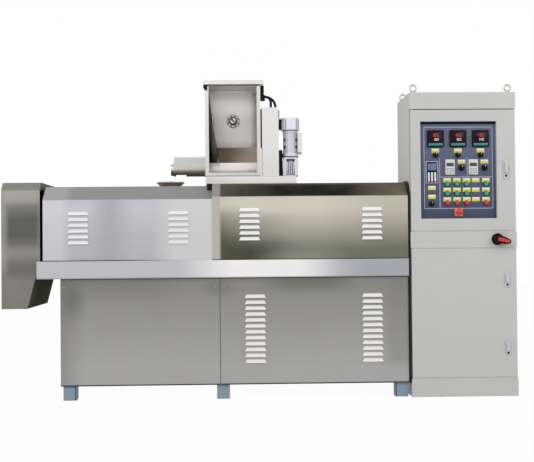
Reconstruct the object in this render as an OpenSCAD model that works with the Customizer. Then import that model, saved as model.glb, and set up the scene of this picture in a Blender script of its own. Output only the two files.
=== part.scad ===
// Food extruder with a screw feeder on top, a cutter hood at its left end
// and a control cabinet at its right end. Millimetres, +Z up, real size.
// X runs along the line from the hood to the cabinet, the front faces -Y.

/* [Machine base] */
// Length of the lower machine cabinet
lower_len = 1950; // [1500:1:2600]
// Depth from the front panels to the back panels
machine_depth = 700; // [560:1:900]
// Height of the lower panels' top edge
lower_top = 680; // [560:1:800]
// Gap under the lower panels
foot_clear = 80; // [60:1:140]
// Side of a square leg tube
leg_side = 72; // [50:1:90]
// Distance of the left legs from the left end
leg_gap = 12; // [6:1:40]
// Wall of a leg tube
leg_wall = 4; // [3:0.5:6]
// Setback of the legs' outer faces, also the panels' folded edge depth
leg_inset = 12; // [8:1:24]
// Sheet of the panels and covers
sheet = 3; // [2:0.5:4]
// Seam between the two front panels, from the left end
seam_x = 890; // [700:1:1100]
// Width of the seam
seam_gap = 4; // [2:1:8]
// Height of the bed beams
bed_h = 98; // [70:1:130]
// How far the bed beams stand out of the panels
bed_proud = 25; // [10:1:40]
// Width of a bed beam
bed_w = 110; // [96:1:140]
// How far the bed runs out past the left end
bed_out = 126; // [100:1:160]

/* [Covers] */
// Top of the barrel cover
barrel_top = 1200; // [1100:1:1300]
// Top of the gearbox cover
gear_top = 1212; // [1110:1:1320]
// How far the gearbox cover stands proud of the barrel cover
gear_proud = 10; // [4:1:20]
// Height of the chamfers on the covers
chamfer_h = 79; // [50:1:110]
// Depth of the chamfers on the covers
chamfer_d = 100; // [60:1:140]
// Joint between the two covers
split_x = 849; // [700:1:1000]
// How far the barrel cover runs past the left end of the panels
cover_out = 98; // [60:1:120]
// Thickness of the dark end plate
end_plate_t = 13; // [8:1:20]
// Corner radius of the end plate
end_plate_r = 95; // [60:1:120]

/* [Louvres] */
// Width of a louvre
louvre_w = 118; // [80:1:140]
// Height of a louvre
louvre_h = 19; // [14:1:24]
// Height from one louvre to the next on the covers
cover_pitch = 32.5; // [26:0.5:40]
// Height from one louvre to the next on the lower panel
panel_pitch = 33; // [26:0.5:40]
// How far a louvre stands out
louvre_out = 11; // [6:1:15]
// Louvres in a group on the covers
cover_louvres = 6; // [3:1:8]
// Louvres in a group on the lower panel
panel_louvres = 12; // [6:1:14]
// Distance of the lower panel's top louvre below the panel's top edge
panel_louvre_drop = 97; // [60:1:140]

/* [Discharge hood] */
// Length of the hood along the line
hood_len = 217; // [160:1:280]
// Gap between the hood and the barrel cover
hood_gap = 26; // [12:1:40]
// Top of the hood
hood_top = 1226; // [1100:1:1320]
// Setback of the hood's front from the front panels
hood_setback = 60; // [30:1:100]
// Height of the hood's chamfers
hood_chamfer = 44; // [20:1:70]
// How far above the bed the chute starts to slant
chute_lift = 9; // [0:1:60]
// Height of the slanted chute
chute_h = 276; // [200:1:360]
// How far the chute slants in
chute_in = 74; // [40:1:100]
// Diameter of the extruder head's flange
head_d = 250; // [180:1:280]
// Height of the barrel's axis
barrel_axis_z = 985; // [900:1:1050]

/* [Feeder] */
// Left end of the feeder base
base_x = 807; // [770:1:840]
// Length of the feeder base
base_len = 530; // [460:1:600]
// Front of the feeder base
base_y = 195; // [170:1:220]
// Depth of the feeder base
base_d = 275; // [240:1:320]
// Height of the feeder base
base_h = 50; // [30:1:60]
// Length of the hopper
hopper_len = 322; // [280:1:360]
// Depth of the hopper
hopper_d = 250; // [210:1:270]
// Height of the hopper
hopper_h = 530; // [420:1:600]
// Sheet of the hopper
hopper_t = 3; // [2:0.5:4]
// Width of the frame around the hopper window
stile_w = 21; // [14:1:30]
// Height of the narrow rail above the hopper's clear front
rail_h = 4; // [3:1:20]
// How far the inner trough walls end below the top of the trough
liner_drop = 38; // [20:1:50]
// Height of the slanted plate's top edge above the trough
slope_rise = 70; // [40:1:90]
// Thickness of the hopper window
glass_t = 5; // [3:1:8]
// Distance of the window's edges from the hopper's sides
glass_in = 12; // [6:1:18]
// Width of the feed trough
trough_w = 80; // [70:1:100]
// Height of the feed trough
trough_h = 115; // [100:1:140]
// Clearance under the feed trough
trough_lift = 6; // [4:1:12]
// Reach of the trough past the hopper
trough_len = 188; // [150:1:240]
// Length of the outlet under the trough
outlet_len = 62; // [40:1:80]
// Diameter of the trough's end cap
end_cap_d = 71; // [50:1:76]
// Diameter of the funnel's rim
funnel_d = 164; // [130:1:200]
// Diameter of the funnel's throat
throat_d = 100; // [80:1:130]
// Distance of the funnel's axis from the trough's left end
funnel_in = 22; // [0:1:60]
// Height of the funnel above the barrel cover
funnel_h = 35; // [20:1:50]
// Thickness of the hopper lid
lid_t = 24; // [12:1:30]
// How far the lid stands out past the hopper's left side
lid_left = 12; // [8:1:20]
// How far the lid stands out past the hopper's right side
lid_right = 19; // [8:1:30]
// Gap between the hopper and the chain cover
drive_gap = 9; // [4:1:16]
// Width of the chain cover
drive_w = 97; // [80:1:120]
// Height of the chain cover
drive_h = 401; // [320:1:460]
// Diameter over the motor's cooling fins
motor_d = 88; // [80:1:110]
// Diameter of the fan cowl
cowl_d = 110; // [90:1:130]
// Height of the gear reducer
reducer_h = 101; // [80:1:130]
// Height of the motor between its flange and the fan cowl
motor_h = 161; // [120:1:200]

/* [Control cabinet] */
// Width of the control cabinet
cab_w = 600; // [500:1:800]
// Depth of the control cabinet
cab_d = 400; // [300:1:500]
// Height of the control cabinet
cab_h = 1712; // [1500:1:2000]
// Height of the plinth
plinth_h = 104; // [60:1:150]
// Top of the lower door's field
lower_door_top = 836; // [760:1:880]
// Top of the middle rail
rail_top = 927; // [900:1:980]
// Top of the upper door's field
upper_door_top = 1618; // [1560:1:1680]
// Depth of a door
door_t = 15; // [12:1:25]
// Gap between a door and what it closes
door_gap = 5; // [5:0.5:8]
// Sheet of the cabinet
cab_sheet = 2; // [1.5:0.5:3]
// Depth of the flange around the door openings
cab_flange = 25; // [15:1:40]
// Width of the control panel's recess
panel_w = 431; // [380:1:470]
// Height of the control panel's recess
panel_h = 548; // [480:1:600]
// Depth of the control panel's recess
recess = 25; // [15:1:40]
// Diameter of a hinge pin
pin_d = 8; // [6:1:12]
// Running clearance around a hinge pin
pin_gap = 0.3; // [0.1:0.1:0.5]

/* [Hidden] */
$fn = 48;
e = 1;

bed_z = lower_top;
bed_top = bed_z + bed_h;
chute_top = bed_top + chute_lift;
hood_bottom = chute_top - chute_h;
cover_x = -cover_out;
hood_x1 = cover_x - hood_gap;
hood_x0 = hood_x1 - hood_len;
hood_y0 = hood_setback;
hood_y1 = machine_depth - hood_setback;
cab_x = lower_len + end_plate_t + 0.5;
cab_x1 = cab_x + cab_w;
door_y = -door_gap - door_t;
base_z = gear_top;
hop_z = base_z + base_h;
hop_top = hop_z + hopper_h;
hop_y = base_y + 5;
hop_x1 = base_x + hopper_len;
trough_y = hop_y + 100;
trough_r = trough_w / 2;
trough_z = hop_z + trough_lift + trough_r;
trough_top = hop_z + trough_lift + trough_h;
trough_x = base_x - trough_len;
lid_gap = 5;
lid_z = hop_top + lid_gap;
drive_x = hop_x1 + drive_gap;
knob_reach = 52;

x_min = hood_x0;
x_max = cab_x1;
y_min = door_y - knob_reach;
y_max = machine_depth + bed_proud;

leg_xs = [leg_gap, seam_x - leg_side / 2 + 15, lower_len - leg_side - 4];
leg_back_y = machine_depth - leg_inset - leg_side;

module box(x0, x1, y0, y1, z0, z1) {
  translate([x0, y0, z0]) cube([x1 - x0, y1 - y0, z1 - z0]);
}

// profile in Y and Z run along X
module along_x(x0, x1) {
  translate([x0, 0, 0]) rotate([90, 0, 90]) linear_extrude(height = x1 - x0) children();
}

// outline in X and Z run along Y
module along_y(y0, y1) {
  translate([0, y1, 0]) rotate([90, 0, 0]) linear_extrude(height = y1 - y0) children();
}

module rod_x(x0, x1, y, z, d) {
  translate([x0, y, z]) rotate([0, 90, 0]) cylinder(h = x1 - x0, d = d);
}

module rod_y(x, y0, y1, z, d) {
  translate([x, y1, z]) rotate([90, 0, 0]) cylinder(h = y1 - y0, d = d);
}

// ---------------------------------------------------------------- louvres

// outline of a louvre seen from the front, narrower at its top
module louvre_face(g) {
  polygon([[-louvre_w / 2 + g, g], [louvre_w / 2 - g, g],
           [louvre_w / 2 - 9 - g, louvre_h - g], [-louvre_w / 2 + 9 + g, louvre_h - g]]);
}

// the raised hood of a louvre, standing out of a sheet whose front is at y
module louvre_hood(x, y, z) {
  intersection() {
    translate([x, y + e, z]) rotate([90, 0, 0]) linear_extrude(height = louvre_out + e) louvre_face(0);
    along_x(x - louvre_w, x + louvre_w)
      polygon([[y + e, z], [y - louvre_out, z], [y - louvre_out + 2, z + 5],
               [y - 3, z + louvre_h - 3], [y, z + louvre_h], [y + e, z + louvre_h]]);
  }
}

// the hollow under the hood, open downwards and through the sheet
module louvre_hollow(x, y, z, t) {
  intersection() {
    translate([x, y + t + e, z - 1]) rotate([90, 0, 0])
      linear_extrude(height = louvre_out + t + 2 * e)
      polygon([[-louvre_w / 2 + 2.5, 0], [louvre_w / 2 - 2.5, 0],
               [louvre_w / 2 - 11, louvre_h - 1.5], [-louvre_w / 2 + 11, louvre_h - 1.5]]);
    along_x(x - louvre_w, x + louvre_w)
      polygon([[y + t + e, z], [y - e / 2, z], [y - e / 2, z - 1], [y - louvre_out + 1.6, z - 1],
               [y - louvre_out + 1.6, z + 1], [y - louvre_out + 3.4, z + 5],
               [y - 2.2, z + louvre_h - 5.2], [y + t + e, z + louvre_h - 5.2]]);
  }
}

module louvre_hoods(x, y, z, n, pitch) {
  for (k = [0 : n - 1]) louvre_hood(x, y, z + k * pitch);
}

module louvre_hollows(x, y, z, n, pitch, t) {
  for (k = [0 : n - 1]) louvre_hollow(x, y, z + k * pitch, t);
}

// ---------------------------------------------------------------- base

module leg(x, y) {
  difference() {
    box(x, x + leg_side, y, y + leg_side, 0, lower_top);
    box(x + leg_wall, x + leg_side - leg_wall, y + leg_wall, y + leg_side - leg_wall,
        leg_wall, lower_top + e);
  }
}

module legs() {
  color([0.5, 0.6, 0.68]) for (x = leg_xs, y = [leg_inset, leg_back_y]) leg(x, y);
}

// shallow folded tray that hangs over the legs, front face at y
module tray(x0, x1, z0, z1, y, dir) {
  y0 = dir > 0 ? y : y - leg_inset;
  difference() {
    box(x0, x1, y0, y0 + leg_inset, z0, z1);
    box(x0 + sheet, x1 - sheet, dir > 0 ? y + sheet : y0 - e,
        dir > 0 ? y0 + leg_inset + e : y - sheet, z0 + sheet, z1 - sheet);
  }
}

module front_left_panel() {
  color([0.6, 0.6, 0.6]) tray(0, seam_x - seam_gap / 2, foot_clear, lower_top, 0, 1);
}

module front_right_panel() {
  z = lower_top - panel_louvre_drop - louvre_h - (panel_louvres - 1) * panel_pitch;
  xs = [seam_x + 198, lower_len - 203];
  color([0.6, 0.6, 0.6]) difference() {
    union() {
      tray(seam_x + seam_gap / 2, lower_len, foot_clear, lower_top, 0, 1);
      for (x = xs) louvre_hoods(x, 0, z, panel_louvres, panel_pitch);
    }
    for (x = xs) louvre_hollows(x, 0, z, panel_louvres, panel_pitch, sheet);
  }
}

module back_left_panel() {
  color([0.6, 0.6, 0.6]) tray(0, seam_x - seam_gap / 2, foot_clear, lower_top, machine_depth, -1);
}

module back_right_panel() {
  color([0.6, 0.6, 0.6]) tray(seam_x + seam_gap / 2, lower_len, foot_clear, lower_top, machine_depth, -1);
}

module left_end_panel() {
  color([0.6, 0.6, 0.6]) difference() {
    box(0, leg_xs[0], leg_inset, machine_depth - leg_inset, foot_clear, lower_top);
    box(sheet, leg_xs[0] + e, leg_inset + sheet, machine_depth - leg_inset - sheet,
        foot_clear + sheet, lower_top - sheet);
  }
}

module bottom_tray() {
  color([0.55, 0.55, 0.55]) difference() {
    box(leg_xs[0], lower_len, leg_inset, machine_depth - leg_inset, foot_clear, foot_clear + sheet);
    for (x = leg_xs, y = [leg_inset, leg_back_y])
      box(x, x + leg_side, y, y + leg_side, foot_clear - e, foot_clear + sheet + e);
  }
}

module cover_profile(top, proud, in) {
  y0 = -proud + in;
  y1 = machine_depth + proud - in;
  k = in * (sqrt(chamfer_h * chamfer_h + chamfer_d * chamfer_d) - chamfer_d) / chamfer_h;
  j = in * (sqrt(chamfer_h * chamfer_h + chamfer_d * chamfer_d) - chamfer_h) / chamfer_d;
  zb = bed_top - (in > 0 ? e : 0);
  polygon([[y0, zb], [y0, top - chamfer_h - j], [y0 + chamfer_d - in + k, top - in],
           [y1 - chamfer_d + in - k, top - in], [y1, top - chamfer_h - j], [y1, zb]]);
}

module machine_end_plate() {
  y0 = -gear_proud;
  y1 = machine_depth + gear_proud;
  top = gear_top + 6;
  color([0.08, 0.08, 0.08]) along_x(lower_len, lower_len + end_plate_t) union() {
    translate([y0, foot_clear]) square([y1 - y0, top - end_plate_r - foot_clear]);
    translate([y0 + end_plate_r, top - end_plate_r - e]) square([y1 - y0 - 2 * end_plate_r, end_plate_r + e]);
    translate([y0 + end_plate_r, top - end_plate_r]) circle(r = end_plate_r, $fn = 64);
    translate([y1 - end_plate_r, top - end_plate_r]) circle(r = end_plate_r, $fn = 64);
  }
}

// ---------------------------------------------------------------- bed

module front_bed_beam() {
  color([0.78, 0.78, 0.8]) union() {
    box(hood_x1, lower_len, -bed_proud, bed_w - bed_proud, bed_z, bed_top);
    box(-bed_out, hood_x1 + e, -bed_proud, hood_y0, bed_z, bed_top);
  }
}

module back_bed_beam() {
  y1 = machine_depth + bed_proud;
  color([0.78, 0.78, 0.8]) union() {
    box(hood_x1, lower_len, y1 - bed_w, y1, bed_z, bed_top);
    box(-bed_out, hood_x1 + e, hood_y1, y1, bed_z, bed_top);
  }
}

module left_bed_beam() {
  color([0.78, 0.78, 0.8]) box(cover_x, cover_x + leg_side, bed_w - bed_proud,
                               machine_depth + bed_proud - bed_w, bed_z, bed_top);
}

module bed_plate() {
  color([0.7, 0.7, 0.72]) box(cover_x + leg_side, lower_len, bed_w - bed_proud,
                              machine_depth + bed_proud - bed_w, bed_top - 8, bed_top);
}

// ---------------------------------------------------------------- covers

funnel_x = trough_x - funnel_in;
funnel_y = trough_y;

module barrel_cover() {
  z = bed_top + 95;
  xs = [cover_x + 199, split_x - 189];
  color([0.76, 0.76, 0.78]) difference() {
    union() {
      along_x(cover_x, split_x) cover_profile(barrel_top, 0, 0);
      for (x = xs) louvre_hoods(x, 0, z, cover_louvres, cover_pitch);
    }
    along_x(cover_x - e, split_x + e) cover_profile(barrel_top, 0, sheet);
    for (x = xs) louvre_hollows(x, 0, z, cover_louvres, cover_pitch, sheet);
    translate([funnel_x, funnel_y, barrel_top - 20]) cylinder(h = 40, d = throat_d + 1);
  }
}

module barrel_cover_end() {
  color([0.7, 0.7, 0.72]) difference() {
    along_x(cover_x, cover_x + sheet) cover_profile(barrel_top, 0, sheet);
    rod_x(cover_x - e, cover_x + sheet + e, machine_depth / 2, barrel_axis_z, head_d - 69);
    box(cover_x - e, cover_x + sheet + e, 0, machine_depth, bed_top - 10, bed_top);
  }
}

module gearbox_cover() {
  z = bed_top + 109;
  xs = [split_x + 210, lower_len - 203];
  color([0.72, 0.7, 0.66]) difference() {
    union() {
      along_x(split_x, lower_len) cover_profile(gear_top, gear_proud, 0);
      for (x = xs) louvre_hoods(x, -gear_proud, z, cover_louvres, cover_pitch);
    }
    along_x(split_x + sheet, lower_len + e) cover_profile(gear_top, gear_proud, sheet);
    along_x(split_x - e, split_x + sheet + e) cover_profile(barrel_top, 0, 3 * sheet);
    for (x = xs) louvre_hollows(x, -gear_proud, z, cover_louvres, cover_pitch, sheet);
  }
}

// ---------------------------------------------------------------- hood

module extruder_head() {
  color([0.6, 0.6, 0.62]) union() {
    rod_x(hood_x1 - 50, cover_x + 40, machine_depth / 2, barrel_axis_z, head_d - 70);
    rod_x(hood_x1, cover_x, machine_depth / 2, barrel_axis_z, head_d);
  }
}

// outline of the hood seen from the front
module hood_outline(in) {
  zb = hood_bottom - (in > 0 ? e : 0);
  polygon([[hood_x0 + in, zb], [hood_x1 - chute_in - in, zb], [hood_x1 - in, chute_top],
           [hood_x1 - in, hood_top - in], [hood_x0 + in, hood_top - in]]);
}

module hood_profile(in) {
  zb = hood_bottom - e;
  polygon([[hood_y0 + in, zb], [hood_y0 + in, hood_top - hood_chamfer],
           [hood_y0 + hood_chamfer, hood_top - in], [hood_y1 - hood_chamfer, hood_top - in],
           [hood_y1 - in, hood_top - hood_chamfer], [hood_y1 - in, zb]]);
}

// flat front or back plate, up to the chamfer
module hood_plate(y0, y1) {
  along_y(y0, y1) intersection() {
    hood_outline(0);
    translate([hood_x0, hood_bottom]) square([hood_len, hood_top - hood_chamfer - hood_bottom]);
  }
}

module hood_front() {
  color([0.6, 0.6, 0.58]) hood_plate(hood_y0, hood_y0 + sheet);
}

module hood_back() {
  color([0.6, 0.6, 0.58]) hood_plate(hood_y1 - sheet, hood_y1);
}

module hood_shell() {
  color([0.6, 0.6, 0.58]) difference() {
    intersection() {
      along_y(hood_y0, hood_y1) hood_outline(0);
      along_x(hood_x0, hood_x1) hood_profile(0);
    }
    intersection() {
      along_y(hood_y0 - e, hood_y1 + e) hood_outline(sheet);
      along_x(hood_x0, hood_x1) hood_profile(sheet);
    }
    for (y = [hood_y0 - e, hood_y1 - sheet]) along_y(y, y + sheet + e) translate([hood_x0 - e, hood_bottom - e])
      square([hood_len + 2 * e, hood_top - hood_chamfer - hood_bottom + e]);
    rod_x(hood_x1 - 2 * sheet, hood_x1 + e, machine_depth / 2, barrel_axis_z, head_d - 69);
  }
}

// ---------------------------------------------------------------- feeder

module feed_funnel() {
  r0 = throat_d / 2;
  r1 = funnel_d / 2;
  z0 = barrel_top - 60;
  z1 = barrel_top;
  z2 = barrel_top + funnel_h;
  color([0.75, 0.75, 0.75]) translate([funnel_x, funnel_y, 0]) rotate_extrude($fn = 64)
    polygon([[r0 - 2, z0], [r0, z0], [r0, z1], [r0 + 12, z1], [r0 + 12, z1 + 2], [r0 + 2, z1 + 2],
             [r1, z2 - 5], [r1, z2], [r1 - 2, z2], [r1 - 2, z2 - 4], [r0, z1 + 2.5], [r0 - 2, z1 + 1]]);
}

module feeder_base() {
  color([0.85, 0.84, 0.82]) difference() {
    box(base_x, base_x + base_len, base_y, base_y + base_d, base_z, base_z + base_h);
    box(base_x + sheet, base_x + base_len - sheet, base_y + sheet, base_y + base_d - sheet,
        base_z - e, base_z + base_h - sheet);
  }
}

// block that carries the base where it hangs over the barrel cover
module feeder_bracket() {
  color([0.1, 0.1, 0.1]) along_x(base_x + 13, split_x - 2)
    polygon([[66, barrel_top - 34 * chamfer_h / chamfer_d], [chamfer_d, barrel_top], [base_y + 60, barrel_top],
             [base_y + 60, base_z], [76, base_z], [66, base_z - 12]]);
}

module trough_profile(in) {
  union() {
    translate([trough_y - trough_r + in, trough_z]) square([trough_w - 2 * in, trough_top - trough_z - in]);
    translate([trough_y, trough_z]) circle(r = trough_r - in);
  }
}

module feeder_trough() {
  color([0.8, 0.8, 0.8]) difference() {
    union() {
      along_x(trough_x, base_x) trough_profile(0);
      along_x(base_x - 6, base_x) translate([trough_y - trough_r - 8, hop_z])
        square([trough_w + 16, trough_h + trough_lift + 6]);
      rod_x(trough_x - 18, trough_x, trough_y, trough_z, end_cap_d);
    }
    along_x(trough_x + sheet, base_x + e) trough_profile(hopper_t);
    box(trough_x + 10, trough_x + 10 + outlet_len, trough_y - trough_r - e, trough_y + trough_r + e,
        hop_z - e, hop_z + trough_lift + 12);
  }
}

module hopper_body() {
  t = hopper_t;
  y0 = hop_y;
  y1 = hop_y + hopper_d;
  color([0.85, 0.84, 0.82]) union() {
    difference() {
      box(base_x, hop_x1, y0, y1, hop_z, hop_top);
      box(base_x + t, hop_x1 - t, y0 + t, y1 - t, hop_z + t, hop_top + e);
      box(base_x + stile_w, hop_x1 - stile_w, y0 - e, y0 + t + e, hop_z + stile_w, hop_top - rail_h);
      along_x(base_x - e, base_x + t + e) trough_profile(t);
    }
  }
}

liner_x = base_x + 22;
slope_z = trough_top + slope_rise;
liner_low = trough_top - liner_drop;

// slanted inner plates that lead the feed down into the trough
module hopper_liner() {
  t = hopper_t;
  y1 = hop_y + hopper_d - t;
  x1 = hop_x1 - t;
  wall_y = trough_y + trough_r;
  color([0.8, 0.79, 0.76]) union() {
    along_y(hop_y + t + glass_t + 1, y1) polygon([[base_x + t, hop_top - 22], [liner_x, hop_top - 22],
      [liner_x + 54, liner_low - 5], [liner_x + 52, liner_low - 5], [liner_x - 2, hop_top - 24],
      [base_x + t, hop_top - 24]]);
    along_x(liner_x + 38, x1) polygon([[y1, slope_z], [y1, slope_z - 3], [wall_y, liner_low - 3],
      [wall_y - e, liner_low - 3], [wall_y - e, liner_low], [wall_y, liner_low]]);
    along_x(base_x + t, x1) difference() {
      union() {
        translate([trough_y - trough_r, trough_z]) square([trough_w, liner_low - trough_z]);
        translate([trough_y, trough_z]) circle(r = trough_r);
      }
      translate([trough_y - trough_r + 2, trough_z]) square([trough_w - 4, trough_h]);
      translate([trough_y, trough_z]) circle(r = trough_r - 2);
    }
  }
}

module hopper_window() {
  color([0.7, 0.8, 0.85, 0.35]) box(base_x + glass_in, hop_x1 - glass_in, hop_y + hopper_t,
                                    hop_y + hopper_t + glass_t, hop_z + glass_in, hop_top - 1);
}

lid_y1 = hop_y + hopper_d + 12;
hinge_y = lid_y1 + 9;
hinge_z = lid_z + 6;

module hopper_lid() {
  color([0.86, 0.86, 0.86]) difference() {
    union() {
      box(base_x - lid_left, hop_x1 + lid_right, hop_y - 12, lid_y1, lid_z, lid_z + lid_t);
      rod_x(base_x + 70, hop_x1 - 70, hinge_y, hinge_z, 12);
      box(base_x + 70, hop_x1 - 70, lid_y1 - e, hinge_y, lid_z + 2, lid_z + 10);
    }
    box(base_x - lid_left + 2, hop_x1 + lid_right - 2, hop_y - 10, lid_y1 - 2, lid_z - e, lid_z + lid_t - 2);
    rod_x(base_x + 70 - e, hop_x1 - 70 + e, hinge_y, hinge_z, 6 + 2 * pin_gap);
  }
}

module lid_hinge() {
  y1 = hop_y + hopper_d;
  color([0.6, 0.6, 0.6]) union() {
    rod_x(base_x + 62, hop_x1 - 62, hinge_y, hinge_z, 6);
    for (x = [base_x + 58, hop_x1 - 68]) {
      along_x(x, x + 10) union() {
        polygon([[y1, hinge_z - 60], [hinge_y + 6, hinge_z - 12], [hinge_y + 6, hinge_z],
                 [hinge_y - 6, hinge_z], [hinge_y - 6, hinge_z - 12], [y1, hinge_z - 24]]);
        translate([hinge_y, hinge_z]) circle(d = 12);
      }
    }
  }
}

// black catch under the lid's left end
module lid_catch() {
  color([0.05, 0.05, 0.05]) along_y(hop_y + 6, hop_y + 30)
    polygon([[base_x - 10, hop_top], [base_x, hop_top], [base_x, hop_top - 30], [base_x - 4, hop_top - 28],
             [base_x - 10, hop_top - 8]]);
}

module agitator_hub() {
  x = base_x + hopper_len / 2;
  z = hop_z + 351;
  y1 = hop_y + hopper_d - hopper_t;
  color([0.7, 0.7, 0.7]) difference() {
    union() {
      rod_y(x, y1 - 10, y1, z, 80);
      rod_y(x, y1 - 34, y1 - 9, z, 54);
    }
    rod_y(x, y1 - 35, y1 - 20, z, 26);
  }
}

module chain_cover() {
  color([0.85, 0.84, 0.82]) box(drive_x, drive_x + drive_w, hop_y + 6, hop_y + 200, hop_z, hop_z + drive_h);
}

motor_x = drive_x + drive_w + 71;
motor_y = hop_y + 100;

// dark guard over the shaft between the reducer and the chain cover
module drive_coupling() {
  color([0.05, 0.05, 0.05]) box(drive_x + drive_w, motor_x - 48, motor_y - 45, motor_y + 45, hop_z, hop_z + 156);
}

module gear_reducer() {
  color([0.75, 0.75, 0.78]) union() {
    box(motor_x - 48, motor_x + 42, motor_y - 34, motor_y + 34, hop_z, hop_z + reducer_h);
    rod_y(motor_x - 3, motor_y - 46, motor_y + 46, hop_z + reducer_h / 2, 78);
    translate([motor_x, motor_y, hop_z + reducer_h - e]) cylinder(h = 14 + e, d = 94);
  }
}

motor_z = hop_z + reducer_h + 14;

module motor_body() {
  color([0.8, 0.8, 0.85]) translate([motor_x, motor_y, motor_z]) union() {
    cylinder(h = motor_h, d = motor_d - 16);
    for (k = [0 : 23]) rotate([0, 0, k * 15]) translate([motor_d / 2 - 14, -1.5, 10]) cube([12.5, 3, motor_h - 20]);
    cylinder(h = 12, d = motor_d);
    translate([0, 0, motor_h - 12]) cylinder(h = 12, d = motor_d);
  }
}

module motor_fan_cowl() {
  color([0.8, 0.8, 0.85]) translate([motor_x, motor_y, motor_z + motor_h]) difference() {
    cylinder(h = 70, d = cowl_d);
    for (r = [20, 30, 40], a = [0 : 45 : 315]) rotate([0, 0, a + r]) translate([r, 0, 62])
      cylinder(h = 9, d = 7, $fn = 16);
  }
}

module motor_terminal_box() {
  color([0.8, 0.8, 0.85]) along_x(motor_x + motor_d / 2 - 1.5, motor_x + 67)
    polygon([[motor_y - 38, motor_z + 22], [motor_y - 44, motor_z + 28], [motor_y - 44, motor_z + 138],
             [motor_y - 38, motor_z + 144], [motor_y + 38, motor_z + 144], [motor_y + 44, motor_z + 138],
             [motor_y + 44, motor_z + 28], [motor_y + 38, motor_z + 22]]);
}

module lid_switch() {
  color([0.05, 0.05, 0.05]) union() {
    box(hop_x1, hop_x1 + 22, hop_y + 20, hop_y + 50, hop_top - 56, hop_top);
    box(hop_x1, hop_x1 + 28, hop_y + 14, hop_y + 54, hop_top - 86, hop_top - 55);
  }
}

module conduit(r, x0, z0, y, z1) {
  translate([x0, y, z0]) rotate([90, 0, 0]) rotate_extrude(angle = 90, $fn = 64)
    translate([r, 0]) circle(d = 9, $fn = 20);
  translate([x0 + r, y, z1]) cylinder(h = z0 - z1, d = 9, $fn = 20);
}

module switch_conduits() {
  z1 = hop_z + drive_h;
  r1 = 34;
  r2 = 62;
  color([0.05, 0.05, 0.05]) {
    conduit(r1, hop_x1 + 28, hop_top - 64 - r1, hop_y + 26, z1);
    conduit(r2, hop_x1 + 28, hop_top - 62 - r2, hop_y + 44, z1);
  }
}

// ---------------------------------------------------------------- cabinet

module cabinet_left_side() {
  s = cab_sheet;
  color([0.75, 0.75, 0.74]) union() {
    box(cab_x, cab_x + s, 0, cab_d, plinth_h, cab_h - s);
    box(cab_x + s - e / 2, cab_x + cab_flange, 0, s, plinth_h, cab_h - s);
  }
}

module cabinet_right_side() {
  s = cab_sheet;
  color([0.75, 0.75, 0.74]) union() {
    box(cab_x1 - s, cab_x1, 0, cab_d, plinth_h, cab_h - s);
    box(cab_x1 - cab_flange, cab_x1 - s + e / 2, 0, s, plinth_h, cab_h - s);
  }
}

module cabinet_back() {
  s = cab_sheet;
  color([0.75, 0.75, 0.74]) box(cab_x + s, cab_x1 - s, cab_d - s, cab_d, plinth_h, cab_h - s);
}

hinge_x = cab_x + 13;
hinge_py = door_y + 7;

module hinge_stub(z0, z1) {
  translate([hinge_x, hinge_py, z0]) cylinder(h = z1 - z0, d = pin_d);
}

module cabinet_roof() {
  s = cab_sheet;
  color([0.75, 0.75, 0.74]) union() {
    box(cab_x, cab_x1, 0, cab_d, cab_h - s, cab_h);
    difference() {
      box(cab_x, cab_x1, door_y, 0, upper_door_top, cab_h);
      box(cab_x + s, cab_x1 - s, door_y + s, e, upper_door_top + s, cab_h - s);
    }
    box(cab_x + cab_flange, cab_x1 - cab_flange, 0, s, upper_door_top, cab_h - s + e / 2);
    hinge_stub(upper_door_top - 22, upper_door_top + e);
  }
}

module cabinet_floor() {
  s = cab_sheet;
  color([0.75, 0.75, 0.74]) box(cab_x + s, cab_x1 - s, s, cab_d - s, plinth_h, plinth_h + s);
}

module cabinet_plinth() {
  s = cab_sheet;
  color([0.75, 0.75, 0.74]) union() {
    difference() {
      box(cab_x, cab_x1, door_y, cab_d, 0, plinth_h);
      box(cab_x + s, cab_x1 - s, door_y + s, cab_d - s, -e, plinth_h - s);
      box(cab_x + 40, cab_x1 - 40, 40, cab_d - 40, plinth_h - s - e, plinth_h + e);
    }
    hinge_stub(plinth_h - s, plinth_h + 22);
  }
}

module cabinet_middle_rail() {
  s = cab_sheet;
  color([0.75, 0.75, 0.74]) union() {
    difference() {
      box(cab_x, cab_x1, door_y, 0, lower_door_top, rail_top);
      box(cab_x + s, cab_x1 - s, door_y + s, e, lower_door_top + s, rail_top - s);
    }
    box(cab_x + cab_flange, cab_x1 - cab_flange, 0, s, lower_door_top, rail_top);
    hinge_stub(lower_door_top - 22, lower_door_top + e);
    hinge_stub(rail_top - e, rail_top + 22);
  }
}

// folded door leaf with hinge blocks in its two left corners
module door_leaf(z0, z1) {
  s = cab_sheet;
  x0 = cab_x + 4;
  x1 = cab_x1 - 4;
  difference() {
    union() {
      difference() {
        box(x0, x1, door_y, door_y + door_t, z0, z1);
        box(x0 + s, x1 - s, door_y + s, door_y + door_t + e, z0 + s, z1 - s);
      }
      for (z = [z0, z1 - 40]) box(x0 + s - e / 2, x0 + 22, door_y + s - e / 2, door_y + door_t, z, z + 40);
    }
    for (z = [z0 - e, z1 - 25]) translate([hinge_x, hinge_py, z]) cylinder(h = 25 + e, d = pin_d + 2 * pin_gap);
  }
}

px0 = cab_x + 60;
px1 = px0 + panel_w;
pz1 = upper_door_top - 70;
pz0 = pz1 - panel_h;
panel_y = door_y + recess;

module instrument_door() {
  s = cab_sheet;
  color([0.75, 0.75, 0.74]) union() {
    difference() {
      door_leaf(rail_top + door_gap, upper_door_top - door_gap);
      box(px0, px1, door_y - e, door_y + door_t + e, pz0, pz1);
    }
    difference() {
      box(px0 - s, px1 + s, door_y, panel_y, pz0 - s, pz1 + s);
      box(px0, px1, door_y - e, panel_y + e, pz0, pz1);
    }
  }
}

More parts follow.
